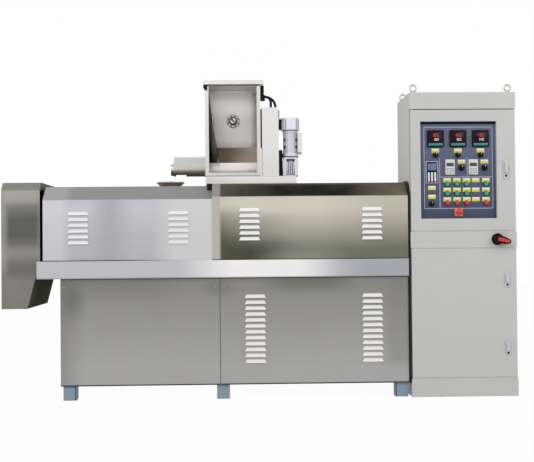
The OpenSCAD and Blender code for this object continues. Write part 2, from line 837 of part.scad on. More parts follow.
module lower_door() {
  color([0.75, 0.75, 0.74]) door_leaf(plinth_h + door_gap, lower_door_top - door_gap);
}

instrument_xs = [149, 277, 405];
button_xs = [214, 269, 324, 434];

module control_panel() {
  s = cab_sheet;
  color([0.28, 0.3, 0.4]) box(px0 - s, px1 + s, panel_y, panel_y + 3, pz0 - s, pz1 + s);
}

module temperature_controllers() {
  color([0.06, 0.06, 0.06]) for (x = instrument_xs) translate([cab_x + x, 0, pz1 - 96]) difference() {
    box(-48, 48, panel_y - 10, panel_y, -48, 48);
    box(-40, 40, panel_y - 11, panel_y - 7, -14, 38);
  }
}

module keypads() {
  color([0.8, 0.8, 0.78]) for (x = [231, 363]) along_y(panel_y - 8, panel_y)
    translate([cab_x + x, pz1 - 300]) polygon([[-27, 0], [27, 0], [27, 75], [17, 87], [-17, 87], [-27, 75]]);
}

module push_buttons() {
  color([0.1, 0.6, 0.3]) for (x = button_xs, z = [352, 406, 460])
    union() {
      rod_y(cab_x + x, panel_y - 7, panel_y, pz1 - z, 30);
      rod_y(cab_x + x, panel_y - 14, panel_y - 6, pz1 - z, 23);
    }
}

module selector_knob(x, z, d) {
  union() {
    rod_y(cab_x + x, panel_y - 7, panel_y, pz1 - z, d);
    rod_y(cab_x + x, panel_y - 12, panel_y - 6, pz1 - z, d - 6);
    box(cab_x + x - 4, cab_x + x + 4, panel_y - 26, panel_y - 11, pz1 - z - d / 2 + 4, pz1 - z + d / 2 - 4);
  }
}

module selector_knobs() {
  color([0.08, 0.08, 0.08]) {
    for (x = instrument_xs) selector_knob(x, 189, 30);
    for (x = [297, 427]) selector_knob(x, 262, 34);
    selector_knob(125, 464, 30);
  }
}

module emergency_stop() {
  color([0.85, 0.2, 0.1]) translate([cab_x + 278, panel_y, pz1 - 511]) rotate([90, 0, 0]) rotate_extrude()
    polygon([[0, 0], [15, 0], [15, 14], [20, 16], [20, 24], [17, 28], [0, 30]]);
}

module supply_meter() {
  color([0.5, 0.6, 0.7]) difference() {
    box(cab_x + 92, cab_x + 162, panel_y - 8, panel_y, pz1 - 348, pz1 - 223);
    box(cab_x + 97, cab_x + 157, panel_y - 9, panel_y - 6, pz1 - 343, pz1 - 228);
  }
}

module lock(x, z0, z1) {
  box(cab_x + x, cab_x + x + 28, door_y - 6, door_y, z0, z1);
  box(cab_x + x + 4, cab_x + x + 24, door_y - 16, door_y - 5, z0 + 5, z1 - 22);
}

module upper_door_lock() {
  color([0.15, 0.15, 0.15]) lock(528, 1222, 1325);
}

module lower_door_locks() {
  color([0.15, 0.15, 0.15]) {
    lock(529, 613, 692);
    lock(529, 231, 305);
  }
}

iso_x = cab_x + 490;
iso_z = (lower_door_top + rail_top) / 2;

module isolator_base() {
  color([0.1, 0.1, 0.1]) rod_y(iso_x, door_y - 12, door_y, iso_z, 67);
}

module isolator_handle() {
  color([0.8, 0.1, 0.1]) translate([iso_x, door_y - 12.3, iso_z]) rotate([90, 14, 0]) union() {
    cylinder(h = 18, d = 46);
    translate([-24, -15, 6]) cube([92, 30, 33.7]);
  }
}

module eyebolt(x, y) {
  translate([x, y, cab_h]) union() {
    cylinder(h = 8, d = 30);
    translate([0, 0, 30]) rotate([90, 0, 0]) rotate_extrude() translate([17.5, 0]) circle(d = 9, $fn = 20);
    cylinder(h = 15, d = 12);
  }
}

module eyebolts() {
  color([0.5, 0.5, 0.5]) for (x = [cab_x + 29, cab_x1 - 32], y = [25, cab_d - 30]) eyebolt(x, y);
}

// ---------------------------------------------------------------- output

module place() {
  translate([-(x_min + x_max) / 2, -(y_min + y_max) / 2, 0]) children();
}

place() legs();
place() front_left_panel();
place() front_right_panel();
place() back_left_panel();
place() back_right_panel();
place() left_end_panel();
place() bottom_tray();
place() machine_end_plate();
place() front_bed_beam();
place() back_bed_beam();
place() left_bed_beam();
place() bed_plate();
place() barrel_cover();
place() barrel_cover_end();
place() gearbox_cover();
place() extruder_head();
place() hood_front();
place() hood_back();
place() hood_shell();
place() feed_funnel();
place() feeder_base();
place() feeder_bracket();
place() feeder_trough();
place() hopper_body();
place() hopper_liner();
place() hopper_window();
place() hopper_lid();
place() lid_hinge();
place() lid_catch();
place() agitator_hub();
place() chain_cover();
place() drive_coupling();
place() gear_reducer();
place() motor_body();
place() motor_fan_cowl();
place() motor_terminal_box();
place() lid_switch();
place() switch_conduits();
place() cabinet_left_side();
place() cabinet_right_side();
place() cabinet_back();
place() cabinet_roof();
place() cabinet_floor();
place() cabinet_plinth();
place() cabinet_middle_rail();
place() instrument_door();
place() lower_door();
place() control_panel();
place() temperature_controllers();
place() keypads();
place() push_buttons();
place() selector_knobs();
place() emergency_stop();
place() supply_meter();
place() upper_door_lock();
place() lower_door_locks();
place() isolator_base();
place() isolator_handle();
place() eyebolts();
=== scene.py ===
# %% [markdown]
# # A food extruder line
# Feed drops from a hopper into a screw feeder, then through a funnel into the
# barrel behind the left cover, and leaves through a die into the cutter hood.
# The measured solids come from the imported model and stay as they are. This
# script gives them their finishes and adds the small parts a solid model
# leaves out. Everything is placed from the solids, so nothing is fitted twice.

# %% Load the frame
import math
from functools import partial
from types import SimpleNamespace

import bmesh
import bpy
from mathutils import Matrix, Vector


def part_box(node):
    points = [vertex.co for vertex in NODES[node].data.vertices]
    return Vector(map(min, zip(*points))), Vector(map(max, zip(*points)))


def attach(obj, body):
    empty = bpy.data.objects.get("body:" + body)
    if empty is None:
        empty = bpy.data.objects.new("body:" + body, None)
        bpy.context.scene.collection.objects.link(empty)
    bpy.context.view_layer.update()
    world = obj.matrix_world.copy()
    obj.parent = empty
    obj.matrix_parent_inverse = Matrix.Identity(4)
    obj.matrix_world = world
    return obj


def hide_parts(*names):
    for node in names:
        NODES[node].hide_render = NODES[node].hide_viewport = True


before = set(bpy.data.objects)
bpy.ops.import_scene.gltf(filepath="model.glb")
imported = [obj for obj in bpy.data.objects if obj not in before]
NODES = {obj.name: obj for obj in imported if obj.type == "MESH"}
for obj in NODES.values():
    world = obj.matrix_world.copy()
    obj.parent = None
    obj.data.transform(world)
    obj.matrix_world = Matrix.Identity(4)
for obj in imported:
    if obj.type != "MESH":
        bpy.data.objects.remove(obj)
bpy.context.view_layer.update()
MM = 0.001

# %% [markdown]
# ## The camera
# The line is seen almost square on, from about 5.4 m away at chest height.
# A matrix built from yaw, pitch and roll says that directly. An Empty to aim
# at would do too, but it can't carry the slight roll.

# %% Place the camera
EYE = Vector((-0.0971, -5.7804, 0.8622))
YAW, PITCH, ROLL = 0.02611, 0.01401, -0.00872
LENS, SENSOR_WIDTH = 65.5, 36
NEAREST, FARTHEST = 0.1, 60


def add_object(name, data):
    """A new object in the scene."""
    thing = bpy.data.objects.new(name, data)
    bpy.context.scene.collection.objects.link(thing)
    return thing


def camera_axes(yaw, pitch, roll):
    """Right, up and backward axes of a camera that looks along +Y at zero."""
    right = Vector((math.cos(yaw), -math.sin(yaw), 0))
    forward = Vector((math.cos(pitch) * math.sin(yaw),
                      math.cos(pitch) * math.cos(yaw), math.sin(pitch)))
    up = right.cross(forward)
    c, s = math.cos(roll), math.sin(roll)
    return right * c + up * s, up * c - right * s, -forward


lens = bpy.data.cameras.new("front_camera")
lens.lens, lens.sensor_width = LENS, SENSOR_WIDTH
lens.clip_start, lens.clip_end = NEAREST, FARTHEST
camera = add_object("front_camera", lens)
camera.matrix_world = (Matrix.Translation(EYE)
                       @ Matrix(camera_axes(YAW, PITCH, ROLL)).transposed().to_4x4())
bpy.context.scene.camera = camera
bpy.context.scene.view_settings.view_transform = "Standard"
print("camera at", tuple(round(v, 3) for v in EYE))

# %% [markdown]
# ## Colours
# A paint chart gives display values from 0 to 255, while shaders add light in
# linear values. One small function converts with the standard display curve,
# so every colour below can be read as a paint mixer would read it.


# %% Convert a chart colour
def chart(red, green, blue):
    """Linear colour of a 0 to 255 display colour."""
    def linear(value):
        value /= 255
        return value / 12.92 if value <= 0.04045 else ((value + 0.055) / 1.055) ** 2.4
    return (linear(red), linear(green), linear(blue), 1.0)


print("mid grey is", round(chart(128, 128, 128)[0], 3))

# %% [markdown]
# ## Shared surface effects
# Sheet steel, paint and plastic all carry a grain, all rub bright along their
# edges and all gather dust on top. The steel also carries painted light and
# shade: a painted reflection ramp up each sheet, painted bands of light and
# shade, and painted highlights on louvres. Each effect is one node group with
# named sockets, so a material only says how much of it there is. Copying the
# nodes into every material would work, but a change would have to be made ten times.

# %% Node helpers
GREY = (0.5, 0.5, 0.5, 1)


def feed(tree, socket, source):
    """Sets a socket from another socket or from a plain value."""
    if isinstance(source, bpy.types.NodeSocket):
        tree.links.new(source, socket)
    else:
        socket.default_value = source


def feed_all(tree, sockets, **values):
    """Sets sockets by name, with spaces written as underscores."""
    for label, value in values.items():
        feed(tree, sockets[label.replace("_", " ")], value)


def math_node(tree, operation, *sources, clamp=False):
    """A Math node; returns its output."""
    node = tree.nodes.new("ShaderNodeMath")
    node.operation, node.use_clamp = operation, clamp
    for socket, source in zip(node.inputs, sources):
        feed(tree, socket, source)
    return node.outputs[0]


def vector_node(tree, operation, first, second):
    """A Vector Math node; returns its vector, or the value of a dot product."""
    node = tree.nodes.new("ShaderNodeVectorMath")
    node.operation = operation
    feed(tree, node.inputs[0], first)
    feed(tree, node.inputs["Scale" if operation == "SCALE" else 1], second)
    return node.outputs["Value" if operation == "DOT_PRODUCT" else "Vector"]


def blend_node(tree, amount, under, over):
    """A colour Mix node; returns its colour output."""
    node = tree.nodes.new("ShaderNodeMix")
    node.data_type = "RGBA"
    for number, source in ((0, amount), (6, under), (7, over)):
        feed(tree, node.inputs[number], source)
    return node.outputs[2]


def noise_in(tree, vector, scale, detail):
    """A Noise texture; returns its value output."""
    node = tree.nodes.new("ShaderNodeTexNoise")
    feed_all(tree, node.inputs, Scale=scale, Detail=detail, Roughness=0.6, Vector=vector)
    return node.outputs[0]


def here(tree):
    """Each point's own place on the object."""
    return tree.nodes.new("ShaderNodeTexCoord").outputs["Object"]


def geometry(tree, label):
    """One output of the Geometry node."""
    return tree.nodes.new("ShaderNodeNewGeometry").outputs[label]


def z_of(tree, vector):
    """The upward part of a vector."""
    node = tree.nodes.new("ShaderNodeSeparateXYZ")
    tree.links.new(vector, node.inputs[0])
    return node.outputs["Z"]


def start_group(name, inputs, outputs):
    """A shader node group; returns it with what it is given and puts out."""
    group = bpy.data.node_groups.new(name, "ShaderNodeTree")
    kinds = {"colour": "NodeSocketColor", "value": "NodeSocketFloat",
             "vector": "NodeSocketVector"}
    for label, kind, start in inputs:
        socket = group.interface.new_socket(label, in_out="INPUT",
                                            socket_type=kinds[kind])
        socket.default_value = start
    for label, kind in outputs:
        group.interface.new_socket(label, in_out="OUTPUT", socket_type=kinds[kind])
    entry = group.nodes.new("NodeGroupInput")
    leave = group.nodes.new("NodeGroupOutput")
    return group, entry.outputs, leave.inputs


def start_layer(name, over, shade, amount, *sockets):
    """A group that lays one colour over another through a mask."""
    return start_group(
        name, [("Colour", "colour", GREY), (over, "colour", shade), *sockets,
               ("Amount", "value", amount)], [("Colour", "colour"), ("Mask", "value")])


def end_layer(tree, given, out, over, strength):
    """Ends a layer group: its mask is the strength times the amount."""
    mask = math_node(tree, "MULTIPLY", strength, given["Amount"], clamp=True)
    tree.links.new(mask, out["Mask"])
    tree.links.new(blend_node(tree, mask, given["Colour"], given[over]), out["Colour"])
    print(tree.name, "group:", len(tree.nodes), "nodes")


print("node helpers ready")

# %% Grain: fine streaks and slow clouds in a surface
grain, given, out = start_group(
    "surface_grain",
    [("Colour", "colour", GREY), ("Stretch", "vector", (1, 1, 1)),
     ("Streaks", "value", 0.1), ("Clouds", "value", 0.1),
     ("Roughness", "value", 0.4), ("Spread", "value", 0.1)],
    [("Colour", "colour"), ("Roughness", "value"), ("Height", "value")])
calc, place = partial(math_node, grain), here(grain)
fine = noise_in(grain, vector_node(grain, "MULTIPLY", place, given["Stretch"]), 1.0, 6)
swing = calc("SUBTRACT", fine, 0.5)
slow_swing = calc("SUBTRACT", noise_in(grain, place, 2.3, 3), 0.5)
level = calc("ADD", calc("ADD", calc("MULTIPLY", swing, given["Streaks"]),
                         calc("MULTIPLY", slow_swing, given["Clouds"])), 1.0)
grain.links.new(vector_node(grain, "SCALE", given["Colour"], level), out["Colour"])
rough = calc("MULTIPLY_ADD", swing, given["Spread"], given["Roughness"])
SMOOTHEST = 0.05
grain.links.new(calc("MAXIMUM", rough, SMOOTHEST), out["Roughness"])
grain.links.new(fine, out["Height"])
print("grain group:", len(grain.nodes), "nodes")

# %% Painted shade ramp: the room's reflection and shade on a polished sheet, painted as a slow change of colour from its foot to its top
shade_ramp, given, out = start_group(
    "painted_shade_ramp",
    [("Foot", "colour", (0.3, 0.3, 0.3, 1)), ("Top", "colour", (0.6, 0.6, 0.6, 1)),
     ("Foot height", "value", 0.0), ("Top height", "value", 1.0),
     ("Unevenness", "value", 0.08)],
    [("Colour", "colour")])
calc, place = partial(math_node, shade_ramp), here(shade_ramp)
wander = calc("MULTIPLY", calc("SUBTRACT", noise_in(shade_ramp, place, 1.4, 2), 0.5),
              given["Unevenness"])
risen = calc("SUBTRACT", calc("ADD", z_of(shade_ramp, place), wander), given["Foot height"])
share = calc("DIVIDE", risen,
             calc("SUBTRACT", given["Top height"], given["Foot height"]), clamp=True)
shade_ramp.links.new(blend_node(shade_ramp, share, given["Foot"], given["Top"]), out["Colour"])
print("tone group:", len(shade_ramp.nodes), "nodes")

# %% Painted light band: a stretch of a sheet painted lighter or darker as light and shade, with soft ends
light_band, given, out = start_layer(
    "painted_light_band", "Band", (0.7, 0.7, 0.7, 1), 1.0,
    ("Direction", "vector", (0, 0, 1)), ("From", "value", 0.0), ("To", "value", 1.0),
    ("Softness", "value", 0.01))
calc = partial(math_node, light_band)
along = vector_node(light_band, "DOT_PRODUCT", here(light_band), given["Direction"])
inside = calc("MINIMUM", calc("SUBTRACT", along, given["From"]),
              calc("SUBTRACT", given["To"], along))
end_layer(light_band, given, out, "Band",
          calc("ADD", calc("DIVIDE", inside, given["Softness"]), 0.5, clamp=True))

# %% Lip: a painted highlight on pressed louvres and folds, where the sheet leans back
LEAN_STARTS, LEAN_GAIN = 0.15, 5.0
lip_highlight, given, out = start_layer("painted_lip_highlight", "Lip", (0.9, 0.9, 0.9, 1), 0.9)
calc = partial(math_node, lip_highlight)
lean = calc("SUBTRACT", z_of(lip_highlight, geometry(lip_highlight, "True Normal")), LEAN_STARTS)
end_layer(lip_highlight, given, out, "Lip", calc("MULTIPLY", lean, LEAN_GAIN, clamp=True))

# %% Wear: edges rubbed down to a brighter or darker colour
EDGE_GAIN = 6.0
wear, given, out = start_layer("edge_wear", "Bare", (0.7, 0.7, 0.7, 1), 0.5,
                               ("Width", "value", 0.002))
calc = partial(math_node, wear)
soft = wear.nodes.new("ShaderNodeBevel")
soft.samples = 4
wear.links.new(given["Width"], soft.inputs["Radius"])
match = vector_node(wear, "DOT_PRODUCT", soft.outputs[0], geometry(wear, "Normal"))
bend = calc("MULTIPLY", calc("SUBTRACT", 1.0, match), EDGE_GAIN, clamp=True)
end_layer(wear, given, out, "Bare",
          calc("MULTIPLY", bend, noise_in(wear, here(wear), 35.0, 4)))

# %% Dust: a thin pale film on whatever faces up
dust, given, out = start_layer("top_dust", "Dust", (0.6, 0.58, 0.54, 1), 0.2)
calc = partial(math_node, dust)
upward = calc("MAXIMUM", z_of(dust, geometry(dust, "Normal")), 0.0)
end_layer(dust, given, out, "Dust",
          calc("MULTIPLY", upward, noise_in(dust, here(dust), 9.0, 5)))

# %% [markdown]
# ## Finishes
# A finish is one material: a colour, the painted light and shade laid over the
# sheet, its grain, and its worn edges. The chain is always the same, painted
# shade ramp, painted light bands and lip highlights, grain, wear, dust and then
# the shader, so one function builds it. What differs between satin steel and
# paint is only how metallic it is and which way the grain runs.

# %% Build a finish
ALONG_X = (3, 90, 260)
ACROSS, DEEP, UP = (1, 0, 0), (0, 1, 0), (0, 0, 1)
FAR = 9.0
CRISP = 0.003
BARE_METAL = (0.75, 0.75, 0.75, 1)
RELIEF, GLOW_STRENGTH = 0.0004, 0.8
LIP_AMOUNT, EDGE_WIDTH = 0.95, 0.0018


# A stretch is a direction, a start, an end and how soft its ends are.
def above(start, soft=CRISP, end=FAR):
    return UP, start, end, soft


def below(end, soft=CRISP):
    return UP, -FAR, end, soft


def right_of(start, soft=CRISP, end=FAR):
    return ACROSS, start, end, soft


def left_of(end, soft=CRISP):
    return ACROSS, -FAR, end, soft


def ends_of(stretch):
    """A stretch as the painted light band group's sockets."""
    return dict(zip(("Direction", "From", "To", "Softness"), stretch))


def place_group(tree, group, **values):
    """A group node with its sockets set by name; returns its outputs."""
    node = tree.nodes.new("ShaderNodeGroup")
    node.node_tree = group
    feed_all(tree, node.inputs, **values)
    return node.outputs


def finish(name, colour, foot=None, heights=(0, 1), stretch=(40, 40, 40),
           streaks=0.06, clouds=0.08, metal=0.0, rough=0.5, spread=0.12,
           bare=None, worn=0.4, dusty=0.1, bump=0.15, coat=0.0, uneven=0.08,
           glow=None, lip_highlights=None, lips_below=FAR, shine=0.5, light_bands=(), dull=()):
    """A procedural material from the shared groups; colours are chart values.

    A band is (colour, amount, stretch) of painted light and shade, and may
    end with a second stretch that it stays inside. The bands numbered in dull
    are painted deep shade and lose their shine. The foot colour paints the
    reflection and shade low on a sheet, and the lip colour is a painted
    highlight on faces that lean back.
    """
    material = bpy.data.materials.new(name)
    material.use_nodes = True
    tree = material.node_tree
    shader = tree.nodes["Principled BSDF"].inputs
    colour = chart(*colour)
    lively = 1.0

    def less(masked):
        """What is left of the shine outside a mask."""
        return math_node(tree, "MULTIPLY", lively,
                         math_node(tree, "SUBTRACT", 1.0, masked["Mask"]))

    # A foot colour paints the reflection and shade as a ramp from the sheet's foot to its
    # top.
    if foot:
        colour = place_group(tree, shade_ramp, Foot=chart(*foot), Top=colour,
                             Foot_height=heights[0], Top_height=heights[1],
                             Unevenness=uneven)["Colour"]
    # Each band paints one stretch of the sheet lighter or darker, as painted light and
    # shade.
    for number, (shade, amount, where, *within) in enumerate(light_bands):
        if within:
            amount = place_group(tree, light_band, Amount=amount, **ends_of(within[0]))["Mask"]
        laid = place_group(tree, light_band, Colour=colour, Band=chart(*shade), Amount=amount,
                           **ends_of(where))
        colour = laid["Colour"]
        if number in dull:
            lively = less(laid)
    # Faces that lean back below the fold get a painted highlight, and lose their shine
    # there.
    if lip_highlights:
        low_part = place_group(tree, light_band, Amount=LIP_AMOUNT,
                               **ends_of(below(lips_below, 0.002)))["Mask"]
        laid = place_group(tree, lip_highlight, Colour=colour, Lip=chart(*lip_highlights), Amount=low_part)
        colour = laid["Colour"]
        lively = less(laid)
    skin = place_group(tree, grain, Colour=colour, Stretch=stretch, Streaks=streaks,
                       Clouds=clouds, Roughness=rough, Spread=spread)
    rubbed = place_group(tree, wear, Colour=skin["Colour"], Width=EDGE_WIDTH, Amount=worn,
                         Bare=chart(*bare) if bare else BARE_METAL)
    film = place_group(tree, dust, Colour=rubbed["Colour"], Amount=dusty)
    relief = tree.nodes.new("ShaderNodeBump")
    feed_all(tree, relief.inputs, Strength=bump, Distance=RELIEF, Height=skin["Height"])
    feed_all(tree, shader, Base_Color=film["Colour"], Roughness=skin["Roughness"],
             Normal=relief.outputs[0], Coat_Weight=coat)
    for label, most in (("Metallic", metal), ("Specular IOR Level", shine)):
        feed(tree, shader[label],
             most if lively == 1.0 else math_node(tree, "MULTIPLY", lively, most))
    if glow:
        feed_all(tree, shader, Emission_Color=chart(*glow),
                 Emission_Strength=GLOW_STRENGTH)
    return material


print("finish builder ready")

# %% [markdown]
# ## Which finish goes where
# Rolled stainless sheet has its grain along its length. The room's reflection
# and the shade on it are painted into its colour, as a slow change from top to
# bottom and as soft bands, so the covers, bed, panels and hood carry their own
# painted copies of the one steel. Each sheet hangs at its own height, so its
# painted tones are placed from its own solid. Painted cabinet sheet is even,
# with hardly any grain. The legs are painted a light blue-grey, with their
# shaded sides painted darker.

# %% Steel sheets of the machine
SHOULDER = 0.079
# The height of the painted shadow line along a sheet's foot, where it meets the part below.
SEAM_SHADOW = 0.0045
END_STRIP = 0.045
STEEL = dict(metal=0.75, stretch=ALONG_X, streaks=0.10, rough=0.34, spread=0.16,
             bare=(225, 225, 225), worn=0.5)
FINISH = {}

# The left cover's foot colour and bands are painted light and shade: lighter and darker
# stretches of reflection, the darker chamfer above the fold, a shadow line along its foot
# and the black shadow of the gap at its left end, which loses its shine. The lips are
# painted louvre highlights.
low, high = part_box("barrel_cover")
fold = high.z - SHOULDER
FINISH["left_cover"] = finish(
    "left_steel_painted_light", (180, 180, 186), foot=(178, 178, 182),
    heights=(low.z, high.z), lip_highlights=(234, 234, 235), lips_below=fold, dull=(8,), light_bands=[
        ((196, 196, 201), 0.6, above(high.z - 0.20, 0.14, fold)),
        ((204, 202, 202), 0.9, right_of(high.x - 0.28, 0.14)),
        ((164, 164, 170), 0.9, right_of(low.x + 0.30, 0.12, low.x + 0.45)),
        ((160, 159, 165), 0.4, below(low.z + 0.020, 0.02),
         right_of(low.x + 0.16, 0.12, low.x + 0.42)),
        ((200, 200, 205), 0.7, left_of(low.x + 0.13, 0.05)),
        ((138, 137, 137), 1.0, above(fold)),
        ((158, 158, 157), 1.0, above(fold), left_of(low.x + 0.14, 0.05)),
        ((36, 36, 38), 1.0, below(low.z + SEAM_SHADOW), left_of(low.x + 0.62, 0.3)),
        ((12, 12, 12), 1.0, left_of(low.x + 0.002, 0.001))],
    **STEEL)

# The right cover's foot colour and bands are painted light and shade: dark greenish
# reflections low down, a lighter top, the near-black shaded chamfer above the fold, which
# loses its shine, a darker top edge, a lighter strip at its left end and a shadow line
# along its foot. The lips are painted louvre highlights.
low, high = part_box("gearbox_cover")
fold = high.z - SHOULDER
FINISH["right_cover"] = finish(
    "right_steel_painted_light", (201, 192, 182), foot=(112, 116, 101),
    heights=(low.z + 0.05, low.z + 0.26), uneven=0.10, dull=(6,),
    lip_highlights=(246, 246, 244), lips_below=fold, light_bands=[
        ((72, 74, 60), 0.9, ((-0.6, 0, -0.8), -0.70, FAR, 0.25)),
        ((206, 200, 186), 0.7, above(high.z - 0.15, 0.05, fold)),
        ((146, 142, 133), 0.5, above(high.z - 0.28, 0.06, high.z - 0.19),
         right_of(low.x + 0.14, 0.16, low.x + 0.40)),
        ((66, 68, 56), 0.85, below(low.z + 0.08, 0.06),
         right_of(low.x + 0.12, 0.16, low.x + 0.38)),
        ((144, 145, 136), 0.6, below(low.z + 0.06, 0.08),
         right_of(low.x + 0.32, 0.2, low.x + 0.68)),
        ((70, 68, 60), 0.2, right_of(high.x - 0.30, 0.4)),
        ((12, 10, 4), 1.0, above(fold)),
        ((60, 56, 46), 0.9, left_of(low.x + 0.28, 0.16), above(fold)),
        ((84, 79, 68), 0.8, left_of(low.x + 0.12, 0.10), above(fold)),
        ((112, 106, 86), 0.9, right_of(high.x - 0.19, 0.32), above(fold)),
        ((96, 90, 72), 0.5, above(high.z - 0.012, 0.008)),
        ((178, 175, 170), 1.0, right_of(low.x - 0.1, 0.016, low.x + END_STRIP),
         below(fold)),
        ((160, 158, 152), 0.85, right_of(low.x - 0.1, 0.012, low.x + END_STRIP),
         above(fold)),
        ((34, 34, 28), 1.0, below(low.z + SEAM_SHADOW))],
    **STEEL)

# The bed's bands paint a lighter reflection in its middle, a darker right end and a shadow
# line along its foot.
low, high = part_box("front_bed_beam")
middle = (low.x + high.x) / 2
FINISH["bed"] = finish("bed_steel", (188, 188, 192), light_bands=[
    ((236, 234, 233), 1.0, right_of(middle - 0.10, 0.30, middle + 0.56)),
    ((164, 165, 170), 1.0, right_of(middle + 0.67, 0.30)),
    ((120, 120, 118), 0.7, below(low.z + SEAM_SHADOW, 0.004))], **STEEL)

# The panels' lighter foot colour and bands are painted reflections and shade: soft dark
# patches near the top, a darker left end, the shadow under the bed along the top edge and a
# dark shadow line at the foot. The lips are painted louvre highlights.
low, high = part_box("front_left_panel")
FINISH["panel"] = finish(
    "lower_panel_steel", (130, 129, 124), foot=(165, 164, 162),
    heights=(low.z + 0.10, high.z + 0.03), lip_highlights=(244, 242, 238), uneven=0.06, light_bands=[
        ((98, 102, 88), 0.6, above(high.z - 0.07, 0.06),
         right_of(high.x + 0.30, 0.16, high.x + 0.70)),
        ((104, 103, 98), 0.4, left_of(low.x + 0.07, 0.14)),
        ((106, 105, 98), 0.3, above(high.z - 0.10, 0.10), left_of(low.x + 0.60, 0.20)),
        ((84, 86, 74), 0.3, above(high.z - 0.09, 0.05, high.z - 0.02),
         right_of(high.x - 0.075, 0.07, high.x + 0.065)),
        ((84, 88, 74), 0.5, above(high.z - 0.20, 0.10, high.z - 0.05),
         right_of(low.x + 0.025, 0.08, low.x + 0.11)),
        ((120, 119, 116), 0.4, right_of(high.x + 0.94, 0.08), above(low.z + 0.10, 0.06)),
        ((44, 42, 42), 0.9, above(high.z - 0.006, 0.004)),
        ((40, 46, 56), 1.0, below(low.z + 0.007, 0.004))],
    **STEEL)

# The hood's foot colour and bands paint its reflections: a darker middle band, a lighter
# top, lighter edge stretches and a darker top edge.
low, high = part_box("hood_front")
FINISH["hood"] = finish(
    "hood_steel", (132, 130, 122), foot=(124, 123, 118), clouds=0.35,
    heights=(low.z + 0.14, high.z + 0.04), light_bands=[
        ((84, 84, 79), 0.85, above(low.z + 0.36, 0.10, low.z + 0.56)),
        ((160, 158, 151), 0.8, above(high.z - 0.07, 0.04)),
        ((138, 134, 129), 0.7, above(low.z + 0.29, 0.03, low.z + 0.35)),
        ((92, 91, 87), 0.6, above(low.z + 0.18, 0.05, low.z + 0.27)),
        ((150, 148, 147), 0.75, right_of(low.x - 0.1, 0.03, low.x + 0.030),
         above(low.z + 0.20, 0.08)),
        ((150, 147, 138), 0.35, right_of(high.x - 0.014, 0.02, high.x + 0.1)),
        ((122, 121, 114), 1.0, above(high.z - 0.002))],
    **STEEL)
# The shell's slanted face and right edge are painted deep shade, which loses its shine.
FINISH["hood_shell"] = finish(
    "hood_shell_steel", (124, 122, 115), foot=(96, 95, 90), heights=(low.z, high.z),
    metal=0.15, rough=0.5, shine=0.12, dull=(0, 1), bare=(190, 188, 180), clouds=0.2,
    light_bands=[((110, 112, 90), 1.0, ((0.966, 0, -0.259), -1.400, FAR, 0.004)),
           ((14, 14, 12), 1.0, right_of(high.x - 0.002, 0.001)),
           ((128, 127, 120), 1.0, above(high.z - 0.002))])
FINISH["head"] = finish("machined_steel", (120, 120, 124), **STEEL)
print("machine finishes:", len(FINISH))

# %% Steel sheets of the feeder
low, high = hopper_low, hopper_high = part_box("hopper_body")
back = (DEEP, high.y - 0.006, high.y - 0.0007, 0.0004)
# On the hopper's back wall the foot colour and bands paint the shade inside: lighter near
# the top, darker and browner low down, a near-black shadow wedge beside the slanted liner
# and a darker stripe at the right. A dark line paints the shadow under the lid along the
# front top edge, and another the shadow at the foot.
FINISH["feeder"] = finish(
    "feeder_sheet", (214, 211, 207), foot=(206, 202, 197), heights=(low.z, high.z),
    light_bands=[((200, 198, 196), 1.0, back),
           ((240, 237, 234), 1.0, above(high.z - 0.12, 0.12), back),
           ((194, 190, 186), 0.8, below(high.z - 0.20, 0.16), back),
           ((104, 96, 84), 0.9, below(low.z + 0.185, 0.10), back),
           ((22, 19, 14), 1.0, ((-0.994, 0, -0.107), 0.104, FAR, 0.040), back),
           ((84, 80, 74), 0.7, right_of(high.x - 0.034, 0.05), back),
           ((60, 56, 52), 0.8, above(high.z - 0.004, 0.001),
            (DEEP, -FAR, high.y - 0.02, 0.004)),
           ((120, 112, 100), 0.7, below(low.z + SEAM_SHADOW, 0.002))],
    **STEEL)
# The lid's band paints its underside lighter, a painted highlight.
FINISH["lid"] = finish("lid_sheet", (216, 213, 211), light_bands=[
    ((240, 238, 234), 1.0, below(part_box("hopper_lid")[0].z + 0.0006, 0.0004))], **STEEL)
# The base's bands paint its left end darker and a shadow line along its top edge.
FINISH["base"] = finish("feeder_base_sheet", (228, 225, 222), light_bands=[
    ((206, 203, 200), 0.8, left_of(low.x + 0.12, 0.2)),
    ((170, 166, 160), 0.6, above(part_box("feeder_base")[1].z - 0.003, 0.002))], **STEEL)
FINISH["funnel"] = finish("funnel_steel", (172, 163, 148), **STEEL)

low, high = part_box("feeder_trough")
# The trough's bright top band is a painted highlight, and its brown foot colour and foot
# band are painted shade.
FINISH["trough"] = finish(
    "trough_sheet", (192, 191, 188), foot=(158, 152, 140),
    heights=(high.z - 0.115, high.z - 0.06), light_bands=[
        ((226, 225, 222), 0.9, above(high.z - 0.011, 0.006)),
        ((118, 106, 88), 0.8, below(low.z + 0.040, 0.016))],
    **STEEL)

liner_low, liner_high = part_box("hopper_liner")
rear = (DEEP, hopper_low.y + 0.142, FAR, 0.002)
slant = (0.992, 0, 0.125)
plate = (slant, -FAR, liner_low.x * slant[0] + liner_high.z * slant[2] + 0.0225, 0.001)
plate_foot = high.z - 0.036
# The liner's bands paint the shade inside the hopper: brown at the rear, lighter towards
# the right, and a near-black shadow low on the slanted plate.
FINISH["liner"] = finish(
    "liner_sheet", (226, 222, 220), metal=0.2, rough=0.45, shine=0.1,
    stretch=ALONG_X, streaks=0.10, bare=(225, 225, 225), light_bands=[
        ((128, 114, 100), 1.0, rear),
        ((186, 174, 160), 0.8, right_of(liner_high.x - 0.12, 0.12), rear),
        ((168, 164, 158), 1.0, plate, above(plate_foot, 0.001)),
        ((30, 27, 22), 1.0, plate, above(plate_foot, 0.10, high.z + 0.11))])
print("steel finishes:", len(FINISH))
